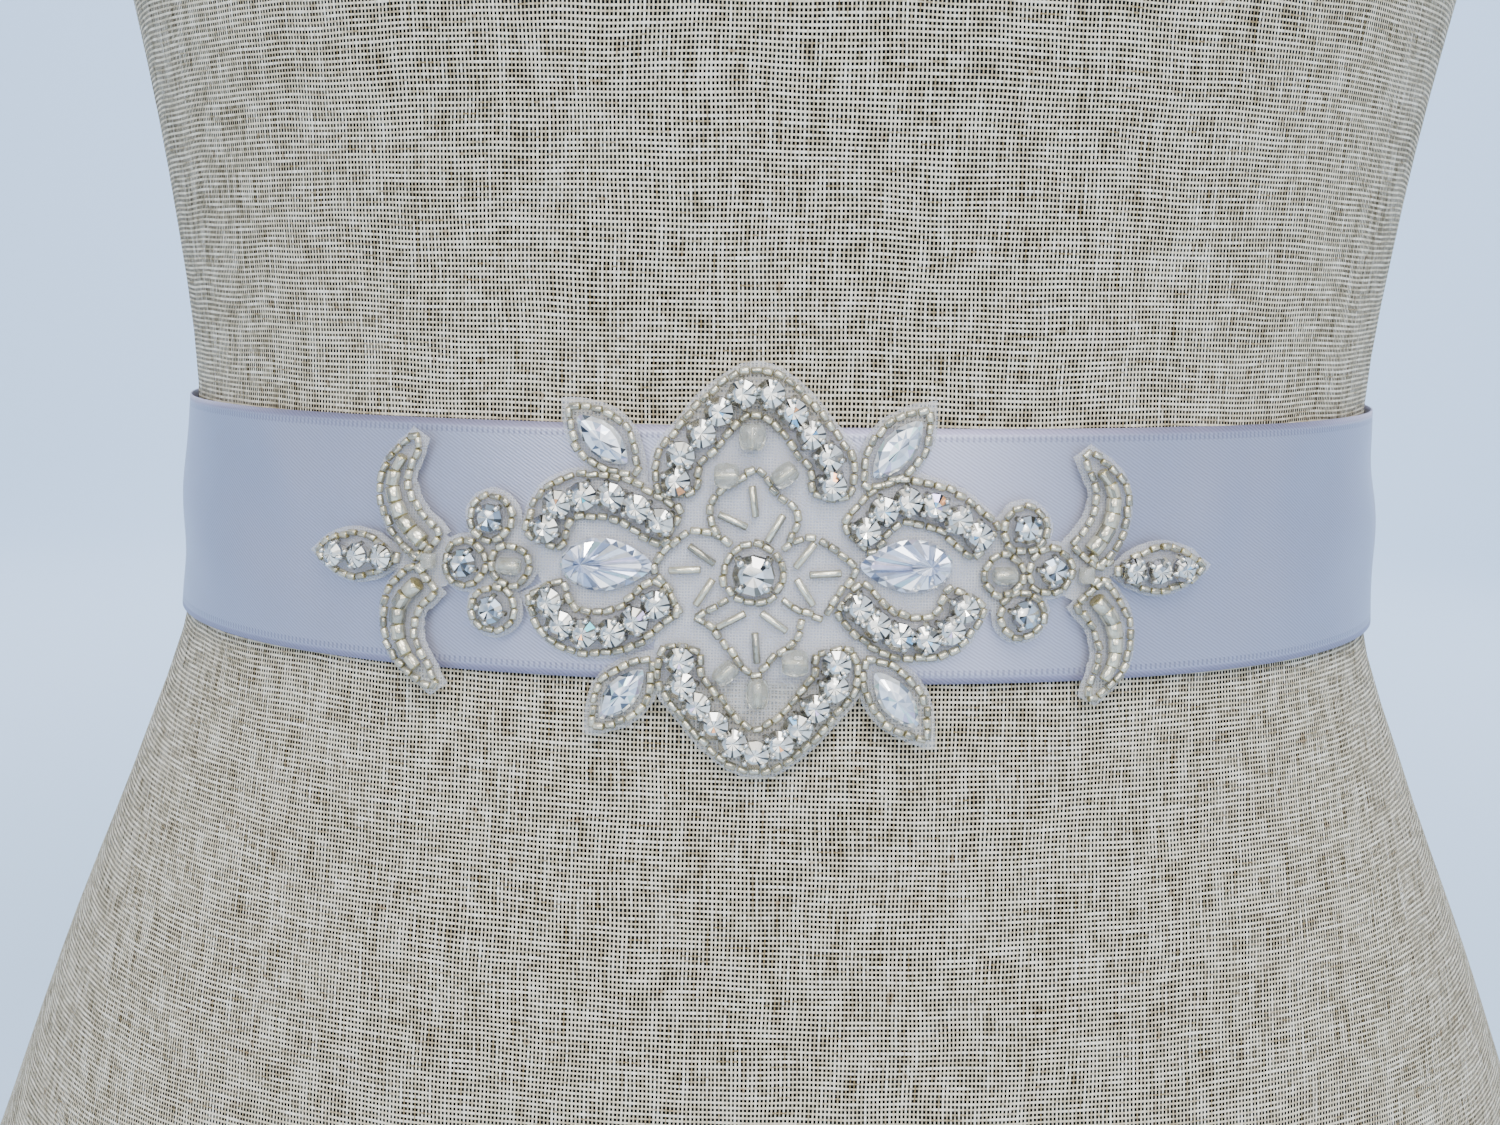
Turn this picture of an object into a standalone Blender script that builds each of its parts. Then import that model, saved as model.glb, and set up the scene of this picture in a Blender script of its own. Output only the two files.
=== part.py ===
# Bridal sash on a dress form: a 38 mm satin ribbon tied round the waist of a limbless linen form,
# with a beaded and jewelled applique on a net backing at the front.
# X points to the right of the front, Y to the back, Z up, in metres. The form stands on Z = 0.

import math
from collections import namedtuple

import bmesh
import bpy
import numpy as np
from mathutils import Vector
from mathutils.geometry import delaunay_2d_cdt

MM = 0.001

# Dress form
FORM_SECTION_POWER = 2.25
FORM_SIDES = 36
BUST_HEIGHT = 0.470
BUST_SPREAD = 0.068
BUST_RISE = 0.011
BUST_SIGMA_ACROSS = 0.038
BUST_SIGMA_UP = 0.044
HIP_HEIGHT = 0.070

FormSection = namedtuple("FormSection", "height half_width front back")
FORM_SECTIONS = [
    FormSection(0.000, 0.1500, 0.0930, 0.1080),
    FormSection(0.030, 0.1600, 0.0995, 0.1200),
    FormSection(0.070, 0.1640, 0.1040, 0.1280),
    FormSection(0.110, 0.1590, 0.1045, 0.1230),
    FormSection(0.150, 0.1453, 0.1025, 0.1085),
    FormSection(0.180, 0.1342, 0.0985, 0.0965),
    FormSection(0.215, 0.1200, 0.0925, 0.0860),
    FormSection(0.243, 0.1102, 0.0885, 0.0808),
    FormSection(0.262, 0.1084, 0.0870, 0.0792),
    FormSection(0.281, 0.1080, 0.0866, 0.0798),
    FormSection(0.315, 0.1118, 0.0885, 0.0835),
    FormSection(0.355, 0.1190, 0.0945, 0.0895),
    FormSection(0.400, 0.1300, 0.1020, 0.0945),
    FormSection(0.432, 0.1372, 0.1066, 0.0978),
    FormSection(0.460, 0.1420, 0.1086, 0.1000),
    FormSection(0.488, 0.1450, 0.1078, 0.1012),
    FormSection(0.520, 0.1478, 0.1018, 0.1015),
    FormSection(0.560, 0.1520, 0.0910, 0.1005),
    FormSection(0.600, 0.1580, 0.0820, 0.0975),
    FormSection(0.635, 0.1560, 0.0735, 0.0905),
    FormSection(0.655, 0.1400, 0.0665, 0.0835),
    FormSection(0.675, 0.1070, 0.0600, 0.0745),
    FormSection(0.690, 0.0780, 0.0565, 0.0680),
    FormSection(0.705, 0.0600, 0.0550, 0.0640),
    FormSection(0.735, 0.0550, 0.0540, 0.0600),
    FormSection(0.765, 0.0530, 0.0530, 0.0580),
]

# Ribbon: where it lies and how it is layered outwards from the form
RIBBON_WIDTH = 38 * MM
RIBBON_HEIGHT = 0.262
RIBBON_TILT = 1.0 * MM
WALL = 1.0 * MM
SEAM_GAP = 0.3 * MM
FORM_CLEARANCE = 0.5 * MM
BAND_INSIDE = FORM_CLEARANCE
BAND_OUTSIDE = BAND_INSIDE + WALL
NET_INSIDE = BAND_OUTSIDE + SEAM_GAP
NET_OUTSIDE = NET_INSIDE + WALL
TRIM_BASE = NET_OUTSIDE + SEAM_GAP
BAND_STEP = 8 * MM
NET_STEP = 7 * MM
MOTIF_STEP = 9 * MM

# Gathering of the ribbon towards the knot
GATHER_LENGTH = 48 * MM
GATHERED_HALF = 8 * MM
GATHER_RIDGE = 1.6 * MM
GATHER_RIDGE_START = 6 * MM
BAND_ROWS = 6

# Soft folds of the ribbon: centre along and up, half length, half width, rise, lean
Fold = namedtuple("Fold", "along up half_length half_width rise lean")
RIBBON_FOLDS = [
    Fold(-0.080, 0.009, 0.015, 0.0085, 0.0008, -0.35),
    Fold(-0.088, -0.009, 0.020, 0.0085, 0.0008, -0.20),
    Fold(0.080, 0.009, 0.015, 0.0085, 0.0008, 0.30),
    Fold(0.090, -0.009, 0.018, 0.0085, 0.0008, 0.25),
    Fold(-0.140, 0.002, 0.030, 0.0080, 0.0009, 0.12),
    Fold(0.145, -0.003, 0.028, 0.0080, 0.0009, -0.15),
    Fold(-0.215, 0.006, 0.026, 0.0070, 0.0010, -0.10),
    Fold(0.220, 0.005, 0.026, 0.0070, 0.0010, 0.12),
]

# Knot at the centre back: place along the ribbon, half height and depth of each section
KnotSection = namedtuple("KnotSection", "across half_height depth")
KNOT_SECTIONS = [
    KnotSection(0.0, 12.6 * MM, 12.4 * MM),
    KnotSection(3.0, 12.9 * MM, 12.6 * MM),
    KnotSection(6.0, 13.0 * MM, 11.9 * MM),
    KnotSection(9.0, 12.4 * MM, 10.4 * MM),
    KnotSection(12.0, 10.8 * MM, 7.6 * MM),
    KnotSection(15.0, 8.8 * MM, 4.2 * MM),
]
KNOT_HALF = 15 * MM
KNOT_SIDES = 16
KNOT_PLEAT = 0.8 * MM
KNOT_PLEAT_SPACING = 6.5 * MM
KNOT_PLEAT_LEAN = 0.45

# The two tails that hang from the knot
TAIL_LENGTH = 0.195
TAIL_LEAN = math.radians(12)
TAIL_TOP_OFFSET = 7.2 * MM
TAIL_TOP_HALF = 5.6 * MM
TAIL_SPREAD_LENGTH = 84 * MM
TAIL_CUT_SLOPE = 0.55
TAIL_CLEARANCE = 1.2 * MM
TAIL_TOP_CLEARANCE = 5.0 * MM
TAIL_SETTLE = 16 * MM
TAIL_RIDGE = 1.3 * MM
TAIL_FLUTE = 2.4 * MM
TAIL_FLUTE_ACROSS = 1.2
TAIL_FLUTE_START = -0.5
TAIL_FLUTE_DRIFT = 0.6
TAIL_DROP_SHARE = 0.97
TAIL_EDGE_SHARE = 0.95
TAIL_COLUMNS = 6
TAIL_ROWS = 18

# Beaded applique: its centre on the ribbon, and the heights of its layers above the net
APPLIQUE_ALONG = -1.3 * MM
APPLIQUE_UP = -2.4 * MM
NET_MARGIN = 0.9
NET_UNDER_TEARDROP = 4.0
RIM_HEIGHT = 1.5 * MM
RIM_WIDTH = 0.9 * MM
FLOOR_HEIGHT = 0.7 * MM
STONE_HEIGHT = 2.7 * MM
STONE_RADIUS = 2.0
STONE_TABLE = 0.66
STONE_SIDES = 6
TEARDROP_EDGE = 0.3
TEARDROP_TABLE = 0.55
MARQUISE_TABLE = 0.5
LEAF_POINT_GROWTH = 1.8
RING_SIDES = 12
CHANNEL_HALF = 3.5
TRIM_GAP = 0.32

# Places and sizes of the motifs are in millimetres from the middle of the centre stone
CENTRE_RING_RADIUS = 4.8
CENTRE_STONE_RADIUS = 2.9
CENTRE_STONE_HEIGHT = 3.1 * MM

Arch = namedtuple("Arch", "name side shift_along shift_up stones")
ARCHES = [
    Arch("arch_top", 1, -0.2, 0.3, 10),
    Arch("arch_bottom", -1, 0.9, 0.1, 11),
]
ARCH_END_ROOM = 2.2
ARCH_STEPS = 19
ARCH_HALF_LINE = [(0.0, 26.6), (4.7, 23.9), (8.2, 19.8), (11.4, 15.6), (10.9, 10.8)]

Strip = namedtuple("Strip", "name line stones")
SCROLLS = [
    Strip("scroll_left_upper", [(-31.4, 3.6), (-28.6, 9.8), (-22.6, 11.0), (-11.6, 6.2)], 6),
    Strip("scroll_left_lower", [(-30.8, -2.8), (-27.6, -8.6), (-20.6, -9.2), (-12.2, -3.2)], 6),
    Strip("scroll_right_upper", [(34.0, 4.4), (27.4, 9.6), (20.2, 10.8), (14.6, 4.8)], 6),
    Strip("scroll_right_lower", [(31.4, -2.8), (27.8, -8.4), (20.4, -8.8), (13.6, -3.0)], 6),
]

SCROLL_END_ROOM = 2.3
SCROLL_STEPS = 9

Arm = namedtuple("Arm", "name line places")
ARMS = [
    Arm("arm_left_upper", [(-49.0, 2.0), (-53.6, 6.4), (-55.4, 11.4), (-51.6, 18.8)], 6),
    Arm("arm_left_lower", [(-49.6, -2.6), (-53.4, -6.8), (-53.4, -12.0), (-47.6, -19.2)], 6),
    Arm("arm_right_upper", [(48.8, 2.4), (52.2, 7.0), (53.0, 11.4), (48.8, 17.8)], 6),
    Arm("arm_right_lower", [(49.6, -3.0), (53.0, -7.4), (53.6, -12.0), (50.0, -19.0)], 6),
]
ARM_HALF = 3.5
ARM_TIP_HALF = 1.1
ARM_BEAD_RADIUS = 1.3
ARM_BEAD_HALF_LENGTH = 1.5
ARM_END_ROOM = 2.6
ARM_STEPS = 8

Leaf = namedtuple("Leaf", "name along up length width turn stone_length stone_width")
LEAVES = [
    Leaf("leaf_left_upper", -22.5, 19.2, 15.6, 8.4, 138, 10.0, 4.9),
    Leaf("leaf_left_lower", -18.7, -18.4, 15.0, 7.8, 231, 9.6, 4.6),
    Leaf("leaf_right_upper", 20.4, 18.5, 16.2, 8.2, 51, 10.6, 4.9),
    Leaf("leaf_right_lower", 20.9, -18.4, 17.0, 8.0, 307, 10.2, 4.7),
]

Tip = namedtuple("Tip", "name along up length width turn")
TIPS = [
    Tip("tip_left", -62.0, 0.0, 16.4, 7.6, 180),
    Tip("tip_right", 61.4, 0.2, 16.4, 7.6, 0),
]
TIP_STONES = (-5.4, -1.1, 3.0)
TIP_STONE_RADIUS = 1.8

Drop = namedtuple("Drop", "name along up length width turn")
TEARDROPS = [
    Drop("teardrop_left", -21.5, 0.8, 13.6, 7.5, 0),
    Drop("teardrop_right", 22.1, 1.4, 13.4, 7.5, 180),
]

Crystal = namedtuple("Crystal", "name along up")
CRYSTALS = [
    Crystal("crystal_left_upper", -39.2, 7.0),
    Crystal("crystal_left_middle", -43.1, 0.0),
    Crystal("crystal_left_lower", -38.5, -6.7),
    Crystal("crystal_right_upper", 39.5, 6.7),
    Crystal("crystal_right_middle", 43.4, 0.5),
    Crystal("crystal_right_lower", 39.2, -6.0),
]
CRYSTAL_RING_RADIUS = 3.9
CRYSTAL_STONE_RADIUS = 2.2

Link = namedtuple("Link", "name along up")
LINKS = [
    Link("link_left", -36.0, 0.0),
    Link("link_right", 36.4, 0.0),
]
LINK_RADIUS = 3.5
LINK_BEAD_HALF_LENGTH = 2.0
LINK_BEAD_RADIUS = 1.5

BEAD_TOP = 0.6
BEAD_CROWN = 0.7
Bead = namedtuple("Bead", "name along up half_length radius turn")
LARGE_BEADS = [
    Bead("bead_top_middle", -0.6, 20.1, 2.0, 2.0, 0),
    Bead("bead_top_left", -4.2, 14.4, 1.9, 1.9, 0),
    Bead("bead_top_right", 4.2, 14.6, 2.0, 1.6, 40),
    Bead("bead_bottom_left", -3.7, -14.7, 1.9, 1.5, 45),
    Bead("bead_bottom_middle", 1.0, -17.6, 2.2, 1.7, 90),
    Bead("bead_bottom_right", 6.3, -12.9, 2.0, 2.0, 0),
]

# Places where the net reaches across between motifs
NetPatch = namedtuple("NetPatch", "along up half_length half_width")
NET_PATCHES = [
    NetPatch(0.0, 0.0, 16.0, 13.0),
    NetPatch(-48.5, 0.0, 4.5, 4.2),
    NetPatch(48.3, 0.0, 4.5, 4.2),
]
NET_PATCH_SIDES = 16

# sRGB colours, roughness and metallic value of each finish
LINEN = ("linen", (0.76, 0.72, 0.65), 0.95, 0.0)
SATIN = ("satin_ribbon", (0.74, 0.74, 0.80), 0.35, 0.0)
NET = ("net", (0.86, 0.86, 0.88), 0.60, 0.0)
CRYSTAL = ("crystal", (0.88, 0.90, 0.93), 0.08, 0.3)
GLASS_BEADS = ("glass_beads", (0.82, 0.80, 0.74), 0.20, 0.4)


# Collections and finishes

def clear_scene():
    for thing in list(bpy.data.objects):
        bpy.data.objects.remove(thing, do_unlink=True)


def new_collection(name):
    collection = bpy.data.collections.new(name)
    bpy.context.scene.collection.children.link(collection)
    return collection


def srgb_to_linear(value):
    return value / 12.92 if value <= 0.04045 else ((value + 0.055) / 1.055) ** 2.4


def finish_material(name, finish):
    kind, colour, roughness, metallic = finish
    material = bpy.data.materials.new(name + "_" + kind)
    material.use_nodes = True
    shader = material.node_tree.nodes["Principled BSDF"]
    shader.inputs["Base Color"].default_value = [srgb_to_linear(c) for c in colour] + [1.0]
    shader.inputs["Roughness"].default_value = roughness
    shader.inputs["Metallic"].default_value = metallic
    return material


def add_object(name, bm, finish, collection, crease_angle=35):
    bmesh.ops.triangulate(bm, faces=bm.faces[:])
    bmesh.ops.recalc_face_normals(bm, faces=bm.faces[:])
    mesh = bpy.data.meshes.new(name)
    bm.to_mesh(mesh)
    bm.free()
    mesh.shade_smooth()
    mesh.set_sharp_from_angle(angle=math.radians(crease_angle))
    mesh.materials.append(finish_material(name, finish))
    piece = bpy.data.objects.new(name, mesh)
    collection.objects.link(piece)
    return piece


# Curves and outlines

def smooth_value(x, xs, ys):
    """Cubic curve through the points (xs, ys), read at x."""
    slopes = np.gradient(ys, xs)
    i = int(np.clip(np.searchsorted(xs, x) - 1, 0, len(xs) - 2))
    span = xs[i + 1] - xs[i]
    t = (x - xs[i]) / span
    rise = (1 - 3 * t * t + 2 * t ** 3) * ys[i] + (3 * t * t - 2 * t ** 3) * ys[i + 1]
    bend = (t - 2 * t * t + t ** 3) * slopes[i] + (t ** 3 - t * t) * slopes[i + 1]
    return float(rise + bend * span)


def smooth_step(t):
    t = min(max(t, 0.0), 1.0)
    return t * t * (3 - 2 * t)


def curve_through(points, count):
    """A smooth curve through a few points, as count points evenly spaced along it."""
    points = np.array(points, float)
    knots = np.r_[0, np.cumsum(np.linalg.norm(np.diff(points, axis=0), axis=1))]
    fine_at = np.linspace(0, knots[-1], 200)
    fine = np.array([[smooth_value(s, knots, points[:, k]) for k in (0, 1)] for s in fine_at])
    lengths = np.r_[0, np.cumsum(np.linalg.norm(np.diff(fine, axis=0), axis=1))]
    at = np.linspace(0, lengths[-1], count)
    return np.stack([np.interp(at, lengths, fine[:, 0]), np.interp(at, lengths, fine[:, 1])], 1)


def line_normals(line):
    along = np.gradient(line, axis=0)
    along /= np.linalg.norm(along, axis=1)[:, None]
    return np.stack([-along[:, 1], along[:, 0]], 1)


def strip_outline(line, half_widths, end_extra=0.0):
    """The outline of a strip that follows a line, with a half width at each of its points."""
    line = line.copy()
    normals = line_normals(line)
    first, last = line[0] - line[1], line[-1] - line[-2]
    line[0] += first / np.linalg.norm(first) * end_extra
    line[-1] += last / np.linalg.norm(last) * end_extra
    half_widths = np.broadcast_to(half_widths, len(line))[:, None]
    return [*(line + normals * half_widths), *(line - normals * half_widths)[::-1]]


def anticlockwise(outline):
    xs, ys = np.array(outline, float).T
    area = np.sum(xs * np.roll(ys, -1) - ys * np.roll(xs, -1))
    return list(outline) if area > 0 else list(outline)[::-1]


def turned(points, along, up, turn=0.0):
    """Points turned by an angle in degrees, then moved to their place."""
    c, s = math.cos(math.radians(turn)), math.sin(math.radians(turn))
    return [(along + x * c - y * s, up + x * s + y * c) for x, y in points]


def round_outline(radius, sides, stretch=1.0):
    turns = [2 * math.pi * (k + 0.5) / sides for k in range(sides)]
    return [(radius * stretch * math.cos(a), radius * math.sin(a)) for a in turns]


def leaf_outline(length, width, steps=7):
    """A leaf pointed at both ends, made of two arcs."""
    half, rise = length / 2, width / 2
    xs = [half * math.cos(math.pi * k / steps) for k in range(2 * steps)]
    sides = [1 if k <= steps else -1 for k in range(2 * steps)]
    return [(x, side * rise * (1 - (x / half) ** 2)) for x, side in zip(xs, sides)]


def drop_outline(length, width, steps=14):
    """A teardrop with its point towards +X."""
    outline = []
    for k in range(steps):
        a = 2 * math.pi * k / steps
        taper = 1 - 0.22 * math.cos(a) - 0.22 * math.cos(a) ** 2
        outline.append((length / 2 * math.cos(a), width / 2 * math.sin(a) * taper * 1.04))
    return outline


# The form and the surface that the ribbon lies on

def form_ring(section, sides=FORM_SIDES):
    """One ring of the form's skin, with the bust's rise where it reaches."""
    power = 2 / FORM_SECTION_POWER
    points = []
    for k in range(sides):
        a = 2 * math.pi * k / sides
        depth = section.front if math.cos(a) > 0 else section.back
        x = section.half_width * math.copysign(abs(math.sin(a)) ** power, math.sin(a))
        y = -depth * math.copysign(abs(math.cos(a)) ** power, math.cos(a))
        if y < 0:
            y -= bust_rise(x, section.height) * abs(math.cos(a)) ** power
        points.append(Vector((x, y, section.height)))
    return points


def bust_rise(x, height):
    across = math.exp(-((abs(x) - BUST_SPREAD) / BUST_SIGMA_ACROSS) ** 2 / 2)
    upward = math.exp(-((height - BUST_HEIGHT) / BUST_SIGMA_UP) ** 2 / 2)
    return BUST_RISE * across * upward


def form_sizes(height):
    """Half width, front and back depth of the form at a height."""
    heights = [s.height for s in FORM_SECTIONS]
    columns = zip(*[(s.half_width, s.front, s.back) for s in FORM_SECTIONS])
    return [smooth_value(height, heights, column) for column in columns]


def form_back(x, height):
    """How far back the form's skin lies at a place, held out below the fullest hip."""
    half_width, _, back = form_sizes(max(height, HIP_HEIGHT))
    share = min(abs(x) / half_width, TAIL_EDGE_SHARE)
    return back * (1 - share ** FORM_SECTION_POWER) ** (1 / FORM_SECTION_POWER)


def waist_sizes(up):
    """Section sizes of the straight-sided surface between the ribbon's two edges."""
    low = form_sizes(RIBBON_HEIGHT - RIBBON_WIDTH / 2)
    high = form_sizes(RIBBON_HEIGHT + RIBBON_WIDTH / 2)
    share = up / RIBBON_WIDTH + 0.5
    return [a + (b - a) * share for a, b in zip(low, high)]


def waist_point(angle, up, out):
    half_width, front, back = waist_sizes(up)
    power = 2 / FORM_SECTION_POWER
    depth = front if math.cos(angle) > 0 else back
    x = half_width * math.copysign(abs(math.sin(angle)) ** power, math.sin(angle))
    y = -depth * math.copysign(abs(math.cos(angle)) ** power, math.cos(angle))
    steep = FORM_SECTION_POWER - 1
    normal_x = math.copysign(abs(x / half_width) ** steep / half_width, x)
    normal_y = math.copysign(abs(y / depth) ** steep / depth, y)
    size = math.hypot(normal_x, normal_y)
    lift = RIBBON_TILT * math.sin(angle)
    return Vector((x + out * normal_x / size, y + out * normal_y / size, RIBBON_HEIGHT + up + lift))


def measure_waist(samples=2880):
    """Angles round the waist and the length along the ribbon's middle that each stands at."""
    angles = np.linspace(-math.pi, math.pi, samples + 1)
    ring = np.array([waist_point(a, 0, 0) for a in angles])
    lengths = np.r_[0, np.cumsum(np.linalg.norm(np.diff(ring, axis=0), axis=1))]
    return angles, lengths - np.interp(0, angles, lengths)


def fold_rise(along, up):
    """How far the ribbon's soft folds lift it at a place."""
    total = 0.0
    for fold in RIBBON_FOLDS:
        x = (along - fold.along) / fold.half_length
        y = (up - fold.up - fold.lean * (along - fold.along)) / fold.half_width
        total += fold.rise * math.exp(-x * x - y * y)
    return total


def wrap(bm):
    """Lays a flat mesh, X along the ribbon, Y up and Z outwards, on the waist and its folds."""
    for v in bm.verts:
        angle = float(np.interp(v.co.x, WAIST_LENGTHS, WAIST_ANGLES))
        v.co = waist_point(angle, v.co.y, v.co.z + fold_rise(v.co.x, v.co.y))


def cut_into_strips(bm, step):
    """Cuts a flat mesh across at even steps, so that it bends when it is wrapped."""
    xs = [v.co.x for v in bm.verts]
    for k in range(math.ceil(min(xs) / step), math.floor(max(xs) / step) + 1):
        geometry = bm.verts[:] + bm.edges[:] + bm.faces[:]
        bmesh.ops.bisect_plane(bm, geom=geometry, plane_co=(k * step, 0, 0), plane_no=(1, 0, 0))


# Dress form, band, knot and tails

def make_dress_form(collection):
    bm = bmesh.new()
    loops = []
    for section in FORM_SECTIONS:
        ring = [bm.verts.new(p) for p in form_ring(section)]
        loops.append([bm.edges.new((a, b)) for a, b in zip(ring, ring[1:] + ring[:1])])
    for lower, upper in zip(loops, loops[1:]):
        bmesh.ops.bridge_loops(bm, edges=lower + upper)
    bmesh.ops.contextual_create(bm, geom=loops[0])
    bmesh.ops.contextual_create(bm, geom=loops[-1])
    return add_object("dress_form", bm, LINEN, collection)


def gathered(v, half_length, row_step):
    """Draws a point of the flat band in towards the knot, with a ridge on every second row."""
    to_knot = half_length - abs(v.co.x)
    pull = 1 - smooth_step(to_knot / GATHER_LENGTH)
    row = round(v.co.y / row_step + BAND_ROWS / 2)
    ridge = GATHER_RIDGE * (row % 2) * pull * smooth_step(to_knot / GATHER_RIDGE_START)
    v.co.z += ridge
    v.co.y *= 1 + (2 * GATHERED_HALF / RIBBON_WIDTH - 1) * pull


def make_band(collection):
    half_length = WAIST_LENGTHS[-1] - KNOT_HALF - 2 * SEAM_GAP
    columns = round(2 * half_length / BAND_STEP)
    bm = bmesh.new()
    bmesh.ops.create_grid(bm, x_segments=columns, y_segments=BAND_ROWS, size=1)
    bmesh.ops.scale(bm, vec=(half_length, RIBBON_WIDTH / 2, 1), verts=bm.verts)
    outer = bmesh.ops.extrude_face_region(bm, geom=bm.faces[:])["geom"]
    outer_points = [g for g in outer if isinstance(g, bmesh.types.BMVert)]
    bmesh.ops.translate(bm, verts=outer_points, vec=(0, 0, WALL))
    bmesh.ops.translate(bm, verts=bm.verts, vec=(0, 0, BAND_INSIDE))
    for v in bm.verts:
        gathered(v, half_length, RIBBON_WIDTH / BAND_ROWS)
    wrap(bm)
    return add_object("sash_band", bm, SATIN, collection)


def knot_half_height(across):
    places = [s.across * MM for s in KNOT_SECTIONS]
    return float(np.interp(abs(across), places, [s.half_height for s in KNOT_SECTIONS]))


def make_knot(collection):
    base = waist_sizes(0)[2] + FORM_CLEARANCE
    sections = KNOT_SECTIONS[:0:-1] + KNOT_SECTIONS
    sides = [-1] * (len(KNOT_SECTIONS) - 1) + [1] * len(KNOT_SECTIONS)
    bm = bmesh.new()
    loops = []
    for section, side in zip(sections, sides):
        x = side * section.across * MM
        fade = 1 - abs(x) / KNOT_HALF
        ring = []
        for k in range(KNOT_SIDES):
            a = 2 * math.pi * k / KNOT_SIDES
            z = section.half_height * math.cos(a)
            out = max(math.sin(a), 0.0)
            pleat = math.cos(2 * math.pi * (z + KNOT_PLEAT_LEAN * x) / KNOT_PLEAT_SPACING)
            y = base + section.depth * (0.5 + 0.5 * math.sin(a)) + KNOT_PLEAT * pleat * out * fade
            ring.append(bm.verts.new((x, y, RIBBON_HEIGHT + z)))
        loops.append([bm.edges.new((a, b)) for a, b in zip(ring, ring[1:] + ring[:1])])
    for left, right in zip(loops, loops[1:]):
        bmesh.ops.bridge_loops(bm, edges=left + right)
    bmesh.ops.contextual_create(bm, geom=loops[0])
    bmesh.ops.contextual_create(bm, geom=loops[-1])
    return add_object("sash_knot", bm, SATIN, collection, crease_angle=60)


def tail_point(side, across, down, row, out):
    """A point of a tail, from its place across (-1 to 1) and down (0 to 1)."""
    spread = smooth_step(down * TAIL_LENGTH / TAIL_SPREAD_LENGTH)
    half = TAIL_TOP_HALF + (RIBBON_WIDTH / 2 - TAIL_TOP_HALF) * spread
    length = down * (TAIL_LENGTH + TAIL_CUT_SLOPE * across * RIBBON_WIDTH / 2)
    top_x = TAIL_TOP_OFFSET + across * TAIL_TOP_HALF
    top_z = RIBBON_HEIGHT - knot_half_height(top_x) - 2 * SEAM_GAP
    x = TAIL_TOP_OFFSET + across * half + length * math.sin(TAIL_LEAN)
    z = top_z - length * math.cos(TAIL_LEAN) * TAIL_DROP_SHARE
    settle = math.exp(-length / TAIL_SETTLE)
    ridge = TAIL_RIDGE * (row % 2) * (1 - spread)
    phase = across * TAIL_FLUTE_ACROSS + TAIL_FLUTE_START + TAIL_FLUTE_DRIFT * down
    flute = TAIL_FLUTE * spread * (0.5 + 0.5 * math.cos(math.pi * phase))
    clear = TAIL_CLEARANCE + (TAIL_TOP_CLEARANCE - TAIL_CLEARANCE) * settle + ridge + flute
    return Vector((side * x, form_back(x, z) + clear + out, z))


def make_tail(name, side, collection):
    bm = bmesh.new()
    bmesh.ops.create_grid(bm, x_segments=TAIL_COLUMNS, y_segments=TAIL_ROWS, size=1)
    outer = bmesh.ops.extrude_face_region(bm, geom=bm.faces[:])["geom"]
    outer_points = [g for g in outer if isinstance(g, bmesh.types.BMVert)]
    bmesh.ops.translate(bm, verts=outer_points, vec=(0, 0, WALL))
    for v in bm.verts:
        row = round((v.co.x + 1) / 2 * TAIL_COLUMNS)
        v.co = tail_point(side, v.co.x, (1 - v.co.y) / 2, row, v.co.z)
    return add_object(name, bm, SATIN, collection)


# Flat pieces of the applique, in millimetres until they are placed

RIM, FLOOR, FIRST_STONE = 0, 1, 2


def flat_faces(keep, classify):
    """Cuts outlines up by each other and keeps the faces that classify gives a number."""
    points, faces = [], []
    for outline in map(anticlockwise, keep):
        faces.append(list(range(len(points), len(points) + len(outline))))
        points += [Vector((x, y)) for x, y in outline]
    spots, _, triangles, _, _, origins = delaunay_2d_cdt(points, [], faces, 1, 1e-5)
    bm = bmesh.new()
    verts = [bm.verts.new((p.x, p.y, 0)) for p in spots]
    for triangle, origin in zip(triangles, origins):
        kind = classify(set(origin))
        if kind is not None:
            bm.faces.new([verts[i] for i in triangle]).material_index = kind
    keep_largest(bm)
    bmesh.ops.delete(bm, geom=[v for v in bm.verts if not v.link_faces], context="VERTS")
    bmesh.ops.dissolve_limit(
        bm, angle_limit=0.02, verts=bm.verts[:], edges=bm.edges[:], delimit={"MATERIAL"}
    )
    return bm


def keep_largest(bm):
    """Removes crumbs that a cut has parted from the main area."""
    left = set(bm.faces)
    groups = []
    while left:
        group, border = [], [left.pop()]
        while border:
            face = border.pop()
            group.append(face)
            near = {f for e in face.edges for f in e.link_faces} & left
            left -= near
            border += near
        groups.append(group)
    groups.sort(key=lambda g: sum(f.calc_area() for f in g))
    crumbs = [f for group in groups[:-1] for f in group]
    bmesh.ops.delete(bm, geom=crumbs, context="FACES")


def place(bm):
    """Turns a flat piece's millimetres into its place on the flat ribbon, in metres."""
    for v in bm.verts:
        v.co.x = v.co.x * MM + APPLIQUE_ALONG
        v.co.y = v.co.y * MM + APPLIQUE_UP


def raise_faces(bm, faces, rise, top_scale=1.0, closes_below=False):
    """Pulls faces up as one block, with the top drawn in towards its middle."""
    made = bmesh.ops.extrude_face_region(bm, geom=faces)["geom"]
    if not closes_below:
        bmesh.ops.delete(bm, geom=faces, context="FACES_KEEP_BOUNDARY")
    points = [g for g in made if isinstance(g, bmesh.types.BMVert)]
    bmesh.ops.translate(bm, verts=points, vec=(0, 0, rise))
    middle = sum((v.co for v in points), Vector()) / len(points)
    for v in points:
        v.co.x = middle.x + (v.co.x - middle.x) * top_scale
        v.co.y = middle.y + (v.co.y - middle.y) * top_scale
    return [g for g in made if isinstance(g, bmesh.types.BMFace)]


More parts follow.
